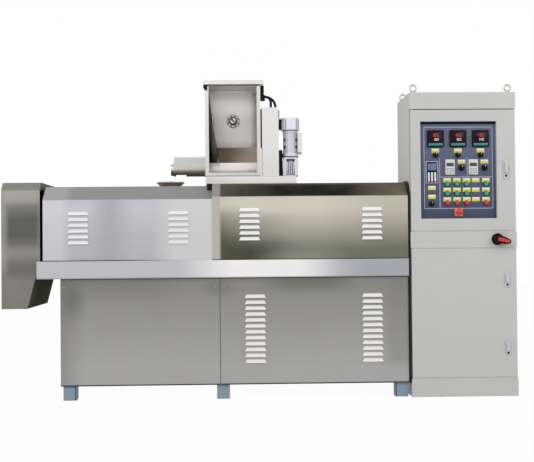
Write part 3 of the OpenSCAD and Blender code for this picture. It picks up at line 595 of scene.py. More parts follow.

# %% Paint, castings and plastics
# The width of the painted shade stripe along each side of a leg.
LEG, LEG_SHADED_SIDE = 0.072, 0.007
leg_low, leg_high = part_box("legs")
slate_low, slate_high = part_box("control_panel")
FINISH.update({
    "chain": finish("chain_cover_paint", (226, 224, 222), metal=0.2, rough=0.4,
                    stretch=(300, 300, 300), bare=(235, 235, 235), worn=0.2),
    "zinc": finish("zinc_plate", (176, 176, 172), metal=0.8, rough=0.36,
                   bare=(230, 230, 230)),
    "screw": finish("screw_head", (134, 134, 126), metal=0.4, rough=0.45,
                    bare=(190, 190, 186), worn=0.2),
    # The leg paint's dark stripes along each leg's sides are painted shade.
    "leg": finish("leg_paint", (130, 152, 170), rough=0.45, dusty=0.3, light_bands=[
        ((30, 46, 60), 0.9, right_of(x, 0.002, x + LEG_SHADED_SIDE))
        for x in (leg_low.x + LEG - LEG_SHADED_SIDE, leg_high.x - LEG)]),
    "cabinet": finish("cabinet_paint", (194, 194, 190), rough=0.42,
                      streaks=0.02, clouds=0.03, bare=(215, 215, 210), worn=0.25,
                      bump=0.3, stretch=(900, 900, 900)),
    "motor": finish("motor_cast", (224, 224, 232), rough=0.45, metal=0.2,
                    stretch=(500, 500, 500), bump=0.5),
    "reducer": finish("reducer_cast", (206, 205, 211), rough=0.45, metal=0.3,
                      stretch=(500, 500, 500), bump=0.5),
    # The slate panel's foot colour paints it darker towards the bottom, as painted shade.
    "slate": finish("slate_panel", (95, 102, 126), foot=(62, 70, 94),
                    heights=(slate_low.z, slate_high.z), rough=0.4, streaks=0.03,
                    bare=(110, 115, 140), worn=0.3, shine=0.3),
    "black": finish("black_part", (14, 14, 15), bare=(60, 60, 60), worn=0.15,
                    dusty=0.02, shine=0.12),
    "dark": finish("dark_plate", (24, 24, 25), rough=0.6, bare=(70, 70, 70),
                   worn=0.2, dusty=0.05, shine=0.15),
    "pale": finish("pale_plastic", (212, 212, 203), worn=0.1),
    "lock": finish("lock_handle", (196, 198, 202), rough=0.4, worn=0.1),
    "green": finish("green_cap", (6, 154, 96), rough=0.28, coat=0.3, worn=0.1),
    "red": finish("red_cap", (202, 28, 26), rough=0.3, coat=0.3, worn=0.1),
    "yellow": finish("yellow_plate", (214, 206, 66), rough=0.45, worn=0.1),
    "white": finish("white_mark", (228, 230, 232), worn=0.0),
    "orange": finish("stop_plate_finish", (226, 140, 60), rough=0.45, worn=0.1),
    "line": finish("printed_line", (186, 190, 216), worn=0.0),
    "window": finish("dark_window", (12, 11, 14), rough=0.3, worn=0.0, shine=0.15),
    "display": finish("grey_display", (66, 70, 88), rough=0.3, worn=0.0, shine=0.3),
    "key": finish("soft_key", (150, 152, 148), rough=0.6, worn=0.0),
    # Dark colour for joints, seams and bolt heads, which also paints the shade in the
    # reducer's core and the stirrer's recess.
    "joint": finish("joint_and_shade_paint", (58, 58, 78)),
    "screen": finish("meter_screen", (92, 112, 140), rough=0.3, worn=0.1),
    "teal": finish("teal_strip", (30, 128, 130), rough=0.4, worn=0.1),
    "red_digit": finish("red_digit", (240, 50, 40), worn=0.0, glow=(214, 60, 56)),
    "white_digit": finish("white_digit", (235, 240, 235), worn=0.0,
                          glow=(190, 190, 196)),
})
print("finishes:", len(FINISH))

# %% [markdown]
# ## The hopper's clear front
# The sheet in front of the feed is clear. Its shader keeps a plain Metallic
# and Transmission Weight, and only Fresnel in the shader makes it shine.

# %% Make the clear sheet
clear = bpy.data.materials.new("clear_sheet")
clear.use_nodes = True
glass = clear.node_tree
smear = glass.nodes.new("ShaderNodeTexNoise")
smear.inputs["Scale"].default_value = 14
film = glass.nodes.new("ShaderNodeMapRange")
feed_all(glass, film.inputs, Value=smear.outputs[0], To_Min=0.02, To_Max=0.08)
feed_all(glass, glass.nodes["Principled BSDF"].inputs, Base_Color=(0.99, 0.985, 0.98, 1),
         IOR=1.02, Transmission_Weight=1.0, Roughness=film.outputs[0])
FINISH["clear"] = clear
print("clear sheet ready")

# %% Give every solid its finish
# Each finish has the colour slot that its pieces share, and the solids it is on.
WEARS = {
    "left_cover": ("cover_steel", "barrel_cover barrel_cover_end"),
    "right_cover": ("cover_steel", "gearbox_cover"),
    "bed": ("bed_steel", "front_bed_beam back_bed_beam left_bed_beam bed_plate"),
    "panel": ("panel_grey", "front_left_panel front_right_panel back_left_panel "
              "back_right_panel left_end_panel bottom_tray"),
    "hood": ("hood_steel", "hood_front hood_back"),
    "hood_shell": ("hood_steel", "hood_shell"),
    "head": ("head_steel", "extruder_head"),
    "feeder": ("feeder_steel", "hopper_body"),
    "lid": ("feeder_steel", "hopper_lid"),
    "base": ("feeder_steel", "feeder_base"),
    "chain": ("feeder_steel", "chain_cover"),
    "trough": ("feeder_steel", "feeder_trough"),
    "liner": ("feeder_steel", "hopper_liner"),
    "funnel": ("feeder_steel", "feed_funnel"),
    "zinc": ("bolt_steel", "lid_hinge agitator_hub eyebolts"),
    "screw": ("bolt_steel", ""),
    "leg": ("leg_paint", "legs"),
    "cabinet": ("cabinet_paint", "cabinet_left_side cabinet_right_side cabinet_back "
                "cabinet_roof cabinet_floor cabinet_plinth cabinet_middle_rail "
                "instrument_door lower_door"),
    "motor": ("motor_paint", "motor_body motor_fan_cowl motor_terminal_box"),
    "reducer": ("motor_paint", "gear_reducer"),
    "slate": ("slate_panel", "control_panel"),
    "black": ("black_part", "feeder_bracket lid_catch drive_coupling lid_switch "
              "switch_conduits temperature_controllers selector_knobs isolator_base"),
    "lock": ("pale_plastic", "upper_door_lock lower_door_locks"),
    "dark": ("dark_plate", "machine_end_plate"),
    "pale": ("pale_plastic", "keypads"),
    "green": ("button_green", "push_buttons"),
    "red": ("button_red", "emergency_stop isolator_handle"),
    "screen": ("meter_blue", "supply_meter"),
    "clear": (None, "hopper_window"),
}
covered = set()
for look, (_, names) in WEARS.items():
    for name in names.split():
        covered.add(name)
        slots = NODES[name].data.materials
        slots.clear()
        slots.append(FINISH[look])
print("solids without a finish:", sorted(set(NODES) - covered))

# %% [markdown]
# ## Tools for small parts
# A solid model stops at plain blocks and discs. The parts below start from
# those solids' own boxes, so a button lands exactly where its solid is. Two
# shapes cover most of them, a block with softened edges and a turned shape,
# as a workshop would mill and lathe them. Modifiers could soften the edges
# too, but many small shapes share one mesh here, and that stays simpler.

# %% Shapes made in a mesh
FRONT = (0, -1, 0)


def fresh(count):
    """Empty meshes in the making."""
    return [bmesh.new() for _ in range(count)]


def about(middle, half):
    """A range with a middle and half a length."""
    return middle - half, middle + half


def inset(ends, by):
    """A range drawn in at both ends."""
    return ends[0] + by, ends[1] - by


def proud(face, out, back=0.001):
    """The depth of a mark that stands out from a face and is let into it."""
    return face - out, face + back


def block(shape, x, y, z, soften=0.001, steps=2):
    """A block with softened edges that fills three ranges."""
    low, high = (Vector(corner) for corner in zip(x, y, z))
    middle, extent = (low + high) / 2, high - low
    points = bmesh.ops.create_cube(shape, size=1)["verts"]
    for point in points:
        point.co = middle + Vector([a * b for a, b in zip(point.co, extent)])
    edges = list({edge for point in points for edge in point.link_edges})
    bmesh.ops.bevel(shape, geom=edges, offset=min(soften, min(extent) * 0.4),
                    segments=steps, profile=0.5, affect="EDGES")


def turned(shape, centre, axis, profile, steps=36):
    """A lathe shape from (distance along the axis, radius) points."""
    turn = Vector(axis).to_track_quat("Z", "Y")
    rings = []
    for distance, radius in profile:
        angles = [2 * math.pi * i / steps for i in range(steps if radius else 1)]
        rings.append([shape.verts.new(Vector(centre) + turn @ Vector(
            (radius * math.cos(a), radius * math.sin(a), distance))) for a in angles])
    for one, two in zip(rings, rings[1:]):
        for i in range(steps):
            j = (i + 1) % steps
            ends = [one[i % len(one)], one[j % len(one)],
                    two[j % len(two)], two[i % len(two)]]
            corners = list(dict.fromkeys(ends))
            if len(corners) > 2:
                shape.faces.new(corners)


def boss(shape, centre, profile, steps=36, top=None, axis=FRONT):
    """A closed lathe shape that starts flat on its centre and ends at the top."""
    end = profile[-1][0] if top is None else top
    turned(shape, centre, axis, [(0, 0), (0, profile[0][1]), *profile, (end, 0)], steps)


def outline(shape, points, near, far):
    """A flat plate from (x, z) points, between two y planes."""
    front = [shape.verts.new((x, near, z)) for x, z in points]
    back = [shape.verts.new((x, far, z)) for x, z in points]
    shape.faces.new(front)
    shape.faces.new(back[::-1])
    for i in range(len(points)):
        j = (i + 1) % len(points)
        shape.faces.new((front[i], back[i], back[j], front[j]))


def settle(shape, name, body, look, hides=(), sharp=35):
    """Turns a mesh in the making into a piece that rides on a body."""
    bmesh.ops.recalc_face_normals(shape, faces=shape.faces)
    mesh = bpy.data.meshes.new(name)
    shape.to_mesh(mesh)
    shape.free()
    mesh.materials.append(FINISH[look])
    mesh.shade_smooth()
    mesh.set_sharp_from_angle(angle=math.radians(sharp))
    piece = add_object(name, mesh)
    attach(piece, body)
    if hides:
        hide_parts(*hides)
    print(name, "faces:", len(mesh.polygons))


def settle_all(body, *rows):
    """Settles several meshes on one body: mesh, name, finish, solids it hides."""
    for shape, name, look, *hides in rows:
        settle(shape, name, body, look, hides)


# %% Find the boxes of solids
def sides(low, high):
    """A box's sides, middle, ranges and half width by short names."""
    middle = (low + high) / 2
    return SimpleNamespace(x0=low.x, x1=high.x, y0=low.y, y1=high.y, z0=low.z,
                           z1=high.z, x=middle.x, y=middle.y, z=middle.z,
                           xs=(low.x, high.x), zs=(low.z, high.z),
                           radius=(high.x - low.x) / 2)


def box_of(node):
    """The sides of a node's box."""
    return sides(*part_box(node))


def solids_of(node):
    """The sides of each separate solid in a node, left to right."""
    mesh = NODES[node].data
    spot = [tuple(round(c, 5) for c in v.co) for v in mesh.vertices]
    joined = {p: p for p in spot}

    def root(p):
        while joined[p] != p:
            p = joined[p]
        return p

    for edge in mesh.edges:
        joined[root(spot[edge.vertices[0]])] = root(spot[edge.vertices[1]])
    groups = {}
    for p in joined:
        groups.setdefault(root(p), []).append(p)
    corners = sorted((tuple(map(min, zip(*g))), tuple(map(max, zip(*g))))
                     for g in groups.values())
    return [sides(Vector(low), Vector(high)) for low, high in corners]


buttons, knobs = solids_of("push_buttons"), solids_of("selector_knobs")
print("push buttons:", len(buttons), "knobs:", len(knobs))

# %% [markdown]
# ## The instrument panel
# The slate panel is a printed sheet with white lines round each group of
# instruments, yellow tags over the switches and a black strip along the top.
# The black strip is partly print and partly painted shade under the top of the
# panel's recess.
# Lines and tags stand a fraction of a millimetre proud, as printed film and
# glued tags do. A texture could draw them, but real geometry keeps its edges.
# The tags are left blank, and so is the bare sheet above and below the group.

# %% Lines, black top strip of print and painted shade, and blank tags
DOOR = "instrument_door"
SHEET = box_of("control_panel")
FACE = SHEET.y0
PROUD, LET_IN = 0.0006, 0.0002
HALF_LINE = 1.5
LEFT, RIGHT, BOTTOM, TOP = 27, 415, 60, 519
DIVIDER, SHORT_DIVIDER, MIDDLE, UPPER = 114.5, 271.5, 237, 344


def printed(shape, x, z, out=PROUD):
    """A thin raised mark, in millimetres from the panel's lower left corner."""
    block(shape, [SHEET.x0 + end * MM for end in x], proud(FACE, out, LET_IN),
          [SHEET.z0 + end * MM for end in z], 0.0002, 1)


lines, top_shade_strip, tags, tag_tops = fresh(4)
for x, ends in ((LEFT, (BOTTOM, TOP)), (RIGHT, (BOTTOM, TOP)),
                (DIVIDER, (BOTTOM, UPPER)), (SHORT_DIVIDER, (MIDDLE, UPPER))):
    printed(lines, about(x, HALF_LINE), ends)
for z, start in ((BOTTOM, LEFT), (TOP, LEFT), (MIDDLE, DIVIDER)):
    printed(lines, (start, RIGHT), about(z, HALF_LINE))
across, upward = (SHEET.x1 - SHEET.x0) / MM, (SHEET.z1 - SHEET.z0) / MM
printed(top_shade_strip, (2, across - 2), (upward - 16, upward - 2), 0.001)

TAG_HALF, TAG_TALL_HALF, TAG_RIM = 0.022, 0.012, 0.003
SPARE_STEP = 0.052
meter = box_of("supply_meter")
rows = sorted({round(b.z, 4) for b in buttons})
columns = sorted({round(b.x, 4) for b in buttons})
tag_places = [(x, z + 0.021) for x in columns + [columns[-2] + SPARE_STEP] for z in rows]
tag_places += [(k.x, k.z1 + 0.011 + (0.008 if k.z1 < 1.31 else 0))
               for k in knobs if k.z0 > 1.2]
tag_places += [(meter.x, meter.z0 - drop) for drop in (0.026, 0.076)]
for x, z in tag_places:
    block(tags, about(x, TAG_HALF), proud(FACE, 0.0012, LET_IN),
          about(z, TAG_TALL_HALF), 0.0006)
    block(tag_tops, about(x, TAG_HALF - TAG_RIM), proud(FACE, 0.0016, -0.001),
          (z + 0.001, z + TAG_TALL_HALF - 0.002), 0.0003)
settle_all(DOOR, (lines, "panel_lines", "line"), (top_shade_strip, "panel_top_shade_strip", "black"),
           (tags, "blank_tags", "yellow"), (tag_tops, "tag_inserts", "white"))

# %% [markdown]
# ## Temperature controllers
# Each is a square black housing with a sunk window, two rows of lit numbers and
# a coloured strip with four keys. Numbers are drawn the way the display does
# it, from seven bars, so no font is needed.

# %% Controllers with their lit numbers
BARS = {"0": "abcdef", "1": "bc", "2": "abged", "3": "abgcd", "4": "fgbc",
        "5": "afgcd", "6": "afgedc", "7": "abc", "8": "abcdefg", "9": "abcdfg"}


def lit_number(shape, text, left, bottom, near, wide, tall):
    """A number from seven bars a digit, on the plane near."""
    half, thick = tall / 2, tall * 0.055
    flat = {"a": tall, "g": half, "d": 0}
    upright = {"f": (0, half), "e": (0, 0), "b": (1, half), "c": (1, 0)}
    for number, digit in enumerate(text):
        start = left + number * wide * 1.45
        for bar in BARS[digit]:
            if bar in flat:
                x = start + 0.12 * wide, start + 0.88 * wide
                z = about(bottom + flat[bar], thick)
            else:
                side, foot = upright[bar]
                x = about(start + side * wide, thick)
                z = bottom + foot + 0.1 * half, bottom + foot + 0.9 * half
            block(shape, x, proud(near, 0.0004, LET_IN), z, 0.0001, 1)


housings, windows, strips, keys, upper, lower = fresh(6)
SHOWN = (("185", "180"), ("160", "160"), ("135", "140"))
for c, (measured, wanted) in zip(solids_of("temperature_controllers"), SHOWN):
    block(housings, c.xs, (c.y0, FACE), c.zs, 0.004, 3)
    block(windows, inset(c.xs, 0.014), proud(c.y0, 0.0008),
          (c.z0 + 0.030, c.z1 - 0.012), 0.002)
    block(strips, inset(c.xs, 0.008), proud(c.y0, 0.001),
          (c.z0 + 0.008, c.z0 + 0.022), 0.0008)
    for i in range(4):
        boss(keys, (c.x0 + 0.018 + i * 0.020, c.y0 - 0.0008, c.z0 + 0.015),
             [(0.0006, 0.0042), (0.0012, 0.0032)], 20, top=0.0013)
    near = c.y0 - 0.0009
    lit_number(upper, measured, c.x0 + 0.026, c.z0 + 0.059, near, 0.010, 0.016)
    lit_number(lower, wanted, c.x0 + 0.034, c.z0 + 0.036, near, 0.008, 0.013)
settle_all(DOOR, (housings, "controller_housings", "black", "temperature_controllers"),
           (windows, "controller_windows", "window"),
           (strips, "controller_strips", "teal"), (keys, "controller_keys", "teal"),
           (upper, "measured_numbers", "red_digit"),
           (lower, "wanted_numbers", "white_digit"))

# %% [markdown]
# ## Push buttons and switches
# A push button is a metal ring with a crowned cap, and only the cap is
# coloured. The lowest row stops the drives and is red. A turned profile gives
# ring and cap their rounded shoulders, which is what catches the light.

# %% Rings, caps and selector switches
rings, green, red, switches, pointers, stop_plate, mushroom = fresh(7)
for b in buttons:
    radius, deep, spot = b.radius, FACE - b.y0, (b.x, FACE, b.z)
    boss(rings, spot, [(deep * 0.25, radius), (deep * 0.4, radius * 0.93)])
    boss(red if b.z < rows[0] + 0.01 else green, spot,
         [(deep * 0.7, radius * 0.86), (deep * 0.92, radius * 0.74),
          (deep * 0.98, radius * 0.4)], top=deep)
for k in knobs:
    radius, deep = k.radius, FACE - k.y0
    boss(switches, (k.x, FACE, k.z),
         [(deep * 0.22, radius), (deep * 0.34, radius * 0.88),
          (deep * 0.62, radius * 0.82), (deep * 0.7, radius * 0.7)])
    block(switches, about(k.x, radius * 0.2), (k.y0, FACE - deep * 0.6),
          about(k.z, radius * 0.8), 0.002, 3)
    block(pointers, about(k.x, 0.0012), proud(k.y0, 0.0002, 0.0006),
          (k.z + radius * 0.25, k.z + radius * 0.72), 0.0003)
settle_all(DOOR, (rings, "button_rings", "black", "push_buttons"),
           (green, "green_button_caps", "green"), (red, "red_button_caps", "red"),
           (switches, "selector_switches", "black", "selector_knobs"),
           (pointers, "selector_pointers", "white"))

# %% Emergency stop on its plate
STOP_PLATE_HALF = 0.0235
stop = box_of("emergency_stop")
radius, deep = stop.radius, FACE - stop.y0
block(stop_plate, about(stop.x, STOP_PLATE_HALF), proud(FACE, 0.0015, LET_IN),
      about(stop.z, STOP_PLATE_HALF))
boss(mushroom, (stop.x, FACE, stop.z),
     [(deep * 0.45, radius * 0.6), (deep * 0.5, radius * 0.94), (deep * 0.62, radius),
      (deep * 0.8, radius * 0.95), (deep * 0.94, radius * 0.7), (deep, radius * 0.3)], 48)
settle_all(DOOR, (stop_plate, "stop_plate", "orange"),
           (mushroom, "stop_mushroom", "red", "emergency_stop"))

# %% [markdown]
# ## Keypads and the supply meter
# The two drive keypads are pale housings with a dark display over small keys.
# The supply meter has a pale surround, a blue-grey screen and three switches.

# %% Drive keypads and meter
pads, displays, pad_keys, surround, face, poles, levers, lamp_dot = fresh(8)
for p in solids_of("keypads"):
    block(pads, p.xs, (p.y0, FACE), p.zs, 0.006, 4)
    block(displays, inset(p.xs, 0.006), proud(p.y0, 0.0006),
          (p.z1 - 0.040, p.z1 - 0.020), 0.0012)
    for column in range(3):
        for row in range(3):
            block(pad_keys, about(p.x0 + 0.012 + column * 0.015, 0.005),
                  proud(p.y0, 0.0008), about(p.z0 + 0.010 + row * 0.012, 0.0036), 0.0008)
block(surround, meter.xs, (meter.y0, FACE), meter.zs, 0.002)
block(face, inset(meter.xs, 0.004), proud(meter.y0, 0.0006),
      inset(meter.zs, 0.004))
block(poles, inset(meter.xs, 0.010), proud(meter.y0, 0.0010),
      (meter.z1 - 0.052, meter.z1 - 0.014))
for i in range(3):
    x = meter.x0 + 0.012 + i * 0.018
    block(levers, (x, x + 0.010), proud(meter.y0, 0.0016),
          (meter.z0 + 0.010, meter.z0 + 0.062), 0.0015, 3)
boss(lamp_dot, (meter.x1 - 0.009, meter.y0 - 0.001, meter.z0 + 0.020),
     [(0.001, 0.0045), (0.0018, 0.003)], 20, top=0.002)
settle_all(DOOR, (pads, "keypad_housings", "pale", "keypads"),
           (displays, "keypad_displays", "display"), (pad_keys, "keypad_keys", "key"),
           (surround, "meter_surround", "line", "supply_meter"),
           (face, "meter_face", "window"), (poles, "meter_screen", "screen"),
           (levers, "meter_switches", "white"), (lamp_dot, "meter_lamp", "red"))

# %% [markdown]
# ## Main isolator and door locks
# The isolator is a round black base with a lever that a hand can lock off. The
# red grip sits in a black frame, and both turn on the isolator's own body. The
# doors have flush swing handles with a small keyhole cover.

# %% Isolator lever and base
base, lever = box_of("isolator_base"), box_of("isolator_handle")
DOOR_FACE = base.y1
DROOP = math.radians(-14)


def lever_point(along, sideways):
    """A point on the lever, from its pivot along and across its length."""
    return (base.x + along * math.cos(DROOP) - sideways * math.sin(DROOP),
            base.z + along * math.sin(DROOP) + sideways * math.cos(DROOP))


def lever_plate(shape, back, front, wide, narrow, near, far, segments, steps=10):
    """A tapered lever with round ends and softened edges."""
    points = []
    for middle, half, start in ((front - narrow, narrow, -90), (back + wide, wide, 90)):
        for i in range(steps + 1):
            a = math.radians(start + 180 * i / steps)
            points.append(lever_point(middle + half * math.cos(a), half * math.sin(a)))
    outline(shape, points, near, far)
    bmesh.ops.bevel(shape, geom=list(shape.edges), offset=0.002, segments=segments,
                    affect="EDGES")


collar, lever_frame, grip = fresh(3)
boss(collar, (base.x, DOOR_FACE, base.z),
     [(0.006, base.radius), (0.009, base.radius * 0.94),
      (DOOR_FACE - base.y0, base.radius * 0.86)], 56)
lever_plate(lever_frame, -0.025, 0.069, 0.024, 0.015, lever.y0 + 0.008, lever.y1, 2)
lever_plate(grip, -0.010, 0.060, 0.010, 0.009, lever.y0, lever.y0 + 0.010, 3)
settle_all("machine", (collar, "isolator_collar", "black", "isolator_base"))
settle_all("isolator_handle",
           (lever_frame, "isolator_lever_frame", "black", "isolator_handle"),
           (grip, "isolator_grip", "red"))

# %% Door locks
for node, body in (("upper_door_lock", DOOR), ("lower_door_locks", "lower_door")):
    plates, handles, keyholes = fresh(3)
    for lock in solids_of(node):
        tall = lock.z1 - lock.z0
        block(plates, lock.xs, (lock.y1 - 0.005, lock.y1),
              lock.zs, 0.003, 3)
        block(handles, about(lock.x, 0.008), (lock.y0, lock.y1 - 0.004),
              (lock.z0 + tall * 0.30, lock.z1 - 0.006), 0.003, 3)
        boss(keyholes, (lock.x, lock.y1 - 0.0048, lock.z0 + tall * 0.16),
             [(0.001, 0.0065), (0.002, 0.005)], 24)
    settle_all(body, (plates, node + "_plates", "lock", node),
               (handles, node + "_handles", "lock"), (keyholes, node + "_keyholes", "dark"))

# %% [markdown]
# ## Screws and stirrer
# Each lower panel hangs on two screws near its top corners. In the hopper the
# stirrer shaft comes through the back wall in a bolted flange. Both are turned
# parts, so both come from a profile.

# %% Panel screws
front_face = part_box("front_left_panel")[0].y
for node, side in (("front_left_panel", -1), ("front_right_panel", -1),
                   ("back_left_panel", 1), ("back_right_panel", 1)):
    panel, screws = box_of(node), bmesh.new()
    for x in (panel.x0 + 0.020, panel.x1 - 0.022):
        boss(screws, (x, front_face if side < 0 else panel.y1, panel.z1 - 0.052),
             [(0.0012, 0.008), (0.0028, 0.006), (0.0034, 0.003), (0.0022, 0.0028)], 24,
             axis=(0, side, 0))
    settle(screws, node + "_screws", "machine", "screw")

# %% Stirrer flange
SLANT = math.radians(-45)
hub = box_of("agitator_hub")
radius, deep = hub.radius, hub.y1 - hub.y0
sunk = (hub.x, hub.y1 - deep * 0.2, hub.z)
flange, shaded_recess, bolts, shaft, key_bar = fresh(5)
boss(flange, (hub.x, hub.y1, hub.z),
     [(deep * 0.3, radius), (deep * 0.36, radius * 0.96), (deep * 0.36, radius * 0.66),
      (deep * 0.2, radius * 0.64)], 56)
# The recess is a dark disc of painted shade inside the flange.
boss(shaded_recess, sunk, [(0.0006, radius * 0.635)], 48)
for i in range(8):
    a = math.radians(45 * i + 22.5)
    boss(bolts, (hub.x + radius * 0.81 * math.cos(a), hub.y1 - deep * 0.36,
                 hub.z + radius * 0.81 * math.sin(a)), [(0.004, 0.005), (0.005, 0.004)], 6)
boss(shaft, sunk, [(deep * 0.7, 0.018), (deep * 0.78, 0.015)])
block(key_bar, about(0, 0.014), (hub.y0, hub.y0 + deep * 0.1), about(0, 0.004))
for point in key_bar.verts:
    x, z = point.co.x, point.co.z
    point.co.x = hub.x + x * math.cos(SLANT) - z * math.sin(SLANT)
    point.co.z = hub.z + x * math.sin(SLANT) + z * math.cos(SLANT)
settle_all("machine", (flange, "stirrer_flange", "zinc", "agitator_hub"),
           (shaded_recess, "stirrer_recess_shade", "joint"), (bolts, "stirrer_flange_bolts", "joint"),
           (shaft, "stirrer_shaft", "feeder"), (key_bar, "stirrer_key", "dark"))

# %% [markdown]
# ## Seals and the drive's mounting
# A dark foam seal lies under the lid's rim and keeps dust in, and its black
# also paints the shadow gap under the lid. A pale strip lies behind it. A black
# strip stands in the gap between hopper and chain cover as painted shade, and
# a short stay steadies the motor's fan cowl against the chain cover. All are
# plain strips, so blocks do.

# %% Lid seal with painted shadow, gap strip of painted shade and motor stay
SEAL, SEAL_INSET, SEAL_LIFT = 0.010, 0.001, 0.0004
hopper, lid = box_of("hopper_body"), box_of("hopper_lid")
chain, cowl = box_of("chain_cover"), box_of("motor_fan_cowl")
shadow_seal, back_seal, gap_shade_strip, stay = fresh(4)
# Rounded once as a Vector, so that strips that share an edge share it exactly.
left, front, right, back = Vector((hopper.x0 + SEAL_INSET, hopper.y0 + SEAL_INSET,
                                   hopper.x1 - SEAL_INSET, hopper.y1 - SEAL_INSET))
for x, y in (((left, right), (front, front + SEAL)), ((left, left + SEAL), (front, back)),
             ((right - SEAL, right), (front, back))):
    block(shadow_seal, x, y, (hopper.z1 + SEAL_LIFT, lid.z0), 0.0012)
block(back_seal, (left + SEAL, right - SEAL), (back - SEAL, back - 0.004),
      (hopper.z1 - 0.001, lid.z0), 0.0004)
block(gap_shade_strip, (hopper.x1 + 0.0002, chain.x0 - 0.0002),
      (chain.y0 + 0.030, chain.y0 + 0.060), (hopper.z1 - 0.36, chain.z1 - 0.006), 0.0015)
for x, top in (((chain.x1, cowl.x0 + 0.008), cowl.z1 - 0.004),
               ((chain.x1, chain.x1 + 0.008), chain.z1 - 0.006)):
    block(stay, x, about(cowl.y, 0.016), (cowl.z0 + 0.004, top), 0.002)
settle_all("hopper_lid", (shadow_seal, "lid_shadow_seal", "dark"))
settle_all("machine", (back_seal, "lid_back_strip", "lid"),
           (gap_shade_strip, "drive_gap_shade", "black"), (stay, "motor_stay", "black"))

# %% [markdown]
# ## Lid catch and door gaskets
# The lid's catch is a bent hook, wide at the top and cut away below, so it is
# drawn as an outline with a thickness. The doors close on thin gaskets.

# %% Lid catch and door gaskets
catch = box_of("lid_catch")
hook, gaskets = fresh(2)
outline(hook, [(catch.x0, catch.z1), (catch.x1 + 0.014, catch.z1),
               (catch.x1 + 0.014, catch.z0), (catch.x1 + 0.008, catch.z0),
               (catch.x0, catch.z1 - 0.012)], hopper.y0 - 0.002, catch.y1)
upper_door, lower_door = box_of(DOOR), box_of("lower_door")
for door, edge, way in ((upper_door, upper_door.z0, -1), (lower_door, lower_door.z0, -1),
                        (lower_door, lower_door.z1, 1)):
    block(gaskets, inset(door.xs, 0.002), (door.y0 + 0.0008, door.y0 + 0.006),
          sorted((edge + way * 0.0008, edge + way * 0.0046)), 0.0004)
settle_all("machine", (hook, "lid_hook", "black", "lid_catch"),
           (gaskets, "door_gaskets", "cabinet"))

# %% [markdown]
# ## The motor's fittings
# The motor shows the ends of its through bolts, a joint ring at each end of
# its body and the seams of the folded fan cowl. The cables to the lid's switch
# run in flexible sleeves, a little thicker than the wires that were measured.

# %% Motor fittings
motor = box_of("motor_body")
seams, sleeves, bolt_ends, joint_rings, foot_flange = fresh(5)
for off in (-0.92, -0.48, 0.68, 0.93):
    y = cowl.y - cowl.radius * math.sqrt(1 - off * off)
    block(seams, about(cowl.x + off * cowl.radius, 0.0016), (y - 0.0008, y + 0.004),
          (cowl.z0 + 0.004, cowl.z1 - 0.006), 0.0004)
SLEEVE = 0.0028
sleeves.from_mesh(NODES["switch_conduits"].data)
sleeves.normal_update()
for point, way in [(point, point.normal.copy()) for point in sleeves.verts]:
    point.co += way * SLEEVE
for side in (-1, 1):
    for z in (motor.z0 + 0.060, motor.z0 + 0.102):
        boss(bolt_ends, (motor.x + side * 0.034, motor.y0 + 0.016, z),
             [(0.008, 0.006), (0.010, 0.004)], 20)
inner = motor.radius * 0.8
for z, grow in ((motor.z1 - 0.003, 0.003), (motor.z0 + 0.003, 0.005)):
    outer = motor.radius + grow
    turned(joint_rings, (motor.x, motor.y, z), UP,
           [(-0.002, inner), (-0.002, outer), (0.002, outer), (0.002, inner)], 56)
outer = motor.radius + 0.004
turned(foot_flange, (motor.x, motor.y, motor.z0 + 0.006), UP,
       [(0, inner), (0, outer), (0.016, outer), (0.020, motor.radius), (0.020, inner)], 56)
settle_all("machine", (seams, "cowl_seams", "joint"),
           (sleeves, "conduit_sleeves", "black", "switch_conduits"),
           (bolt_ends, "motor_bolt_ends", "dark"),
           (joint_rings, "motor_joint_rings", "joint"),
           (foot_flange, "motor_foot_flange", "motor"))

# %% [markdown]
# ## Gear reducer
# The worm reducer is a casting with a round boss on each side of a ribbed
# middle. Its ribs keep the hot casing cool. Rings and ribs come from the CAD
# piece's box, so the casting keeps its place under the motor. The dark core
# behind bosses and ribs is painted shade.

# %% Reducer casting with its ribs
case = box_of("gear_reducer")
wide, tall = case.x1 - case.x0, case.z1 - case.z0
shaded_core, casting, ribs = fresh(3)
# The core takes the dark joint colour as painted shade between the bosses.
block(shaded_core, inset(case.xs, 0.006), (case.y0 + 0.016, case.y1 - 0.004),
      case.zs, 0.004)
half = wide * 0.13
for side in (-1, 1):
    cheek = case.x + side * wide * 0.36
    arch = [(cheek + half * math.cos(a),
             case.z0 + tall * 0.66 + tall * 0.28 * math.sin(a))
            for a in (math.pi * i / 12 for i in range(13))]
    arch += [(x, case.z0) for x in about(cheek, half * 0.75)]
    outline(casting, arch, case.y0 + 0.004, case.y1 - 0.002)
block(casting, inset(case.xs, 0.010), (case.y0 + 0.006, case.y1 - 0.002),
      (case.z1 - 0.012, case.z1), 0.003)
block(casting, inset(case.xs, 0.004), (case.y0 + 0.004, case.y1 - 0.002),
      (case.z0, case.z0 + 0.008), 0.002)
for i in (-1.5, -0.5, 0.5, 1.5):
    block(ribs, about(case.x + i * wide * 0.115, 0.0032),
          (case.y0 + 0.002, case.y0 + 0.020),
          (case.z0 + 0.010, case.z1 - 0.020 - 0.006 * abs(i)))
settle(shaded_core, "reducer_shaded_core", "machine", "joint", hides=["gear_reducer"])
settle(casting, "reducer_casting", "machine", "motor", sharp=40)
settle(ribs, "reducer_ribs", "machine", "reducer")

# %% [markdown]
# ## Light and floor
# Satin steel looks like whatever stands round it, so the room matters as much
# as the lamps. A pale room lights it evenly and two large lamps give it shape.
# The floor and room look white to the camera and in reflections by their own
# colour, through Light Path, and not by more light on the machine.

# %% Light the room
WHITE = (1, 1, 1, 1)
FILL = 0.5


def seen_directly(tree):
    """1 for camera, glossy and transmission rays, else 0."""
    path = tree.nodes.new("ShaderNodeLightPath").outputs
    either = math_node(tree, "MAXIMUM", path["Is Camera Ray"], path["Is Glossy Ray"])
    return math_node(tree, "MAXIMUM", either, path["Is Transmission Ray"])


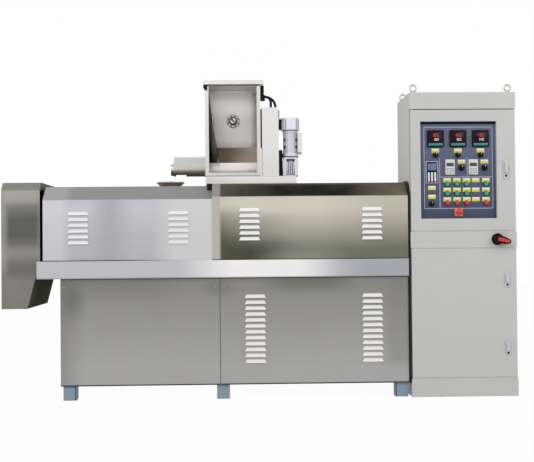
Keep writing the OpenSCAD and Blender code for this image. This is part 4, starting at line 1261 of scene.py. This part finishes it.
def either_shader(tree, share, first, second, end):
    """Mixes two shaders by a share and sends them to the output."""
    mix = tree.nodes.new("ShaderNodeMixShader")
    for socket, source in zip(mix.inputs, (share, first, second)):
        tree.links.new(source, socket)
    tree.links.new(mix.outputs[0], end.inputs[0])


def glow_node(tree, kind, strength):
    """A white Background or Emission; returns its output."""
    node = tree.nodes.new(kind)
    feed_all(tree, node.inputs, Color=WHITE, Strength=strength)
    return node.outputs[0]


def soft_lamp(name, place, aim, size, power):
    """A square area lamp that looks at a point."""
    lamp = bpy.data.lights.new(name, "AREA")
    lamp.size, lamp.energy = size, power
    holder = add_object(name, lamp)
    holder.location = place
    sight = Vector(aim) - Vector(place)
    holder.rotation_euler = sight.to_track_quat("-Z", "Y").to_euler()


world = bpy.data.worlds.new("pale_room")
bpy.context.scene.world = world
world.use_nodes = True
sky = world.node_tree
sky.nodes.clear()
either_shader(sky, seen_directly(sky), glow_node(sky, "ShaderNodeBackground", FILL),
              glow_node(sky, "ShaderNodeBackground", 1.0),
              sky.nodes.new("ShaderNodeOutputWorld"))
soft_lamp("key_lamp", (-2.6, -4.2, 4.2), (0, 0, 0.9), 3.0, 120)
soft_lamp("side_lamp", (3.8, -3.4, 3.0), (0.4, 0, 0.9), 2.6, 60)
print("room and lamps ready")

# %% Lay the floor
FLOOR_SIZE, FLOOR_DROP = 30, 0.0005
floor_paint = bpy.data.materials.new("pale_floor")
floor_paint.use_nodes = True
lay = floor_paint.node_tree
ground = lay.nodes["Principled BSDF"]
feed_all(lay, ground.inputs, Base_Color=(0.86, 0.86, 0.86, 1), Roughness=0.9)
either_shader(lay, math_node(lay, "MULTIPLY", seen_directly(lay), 0.97),
              ground.outputs[0], glow_node(lay, "ShaderNodeEmission", 1.0),
              lay.nodes["Material Output"])
sheet = bmesh.new()
bmesh.ops.create_grid(sheet, x_segments=1, y_segments=1, size=FLOOR_SIZE / 2)
floor_mesh = bpy.data.meshes.new("floor")
sheet.to_mesh(floor_mesh)
sheet.free()
floor_mesh.materials.append(floor_paint)
floor = add_object("floor", floor_mesh)
floor.location.z = -FLOOR_DROP
print("floor", FLOOR_SIZE, "m wide")
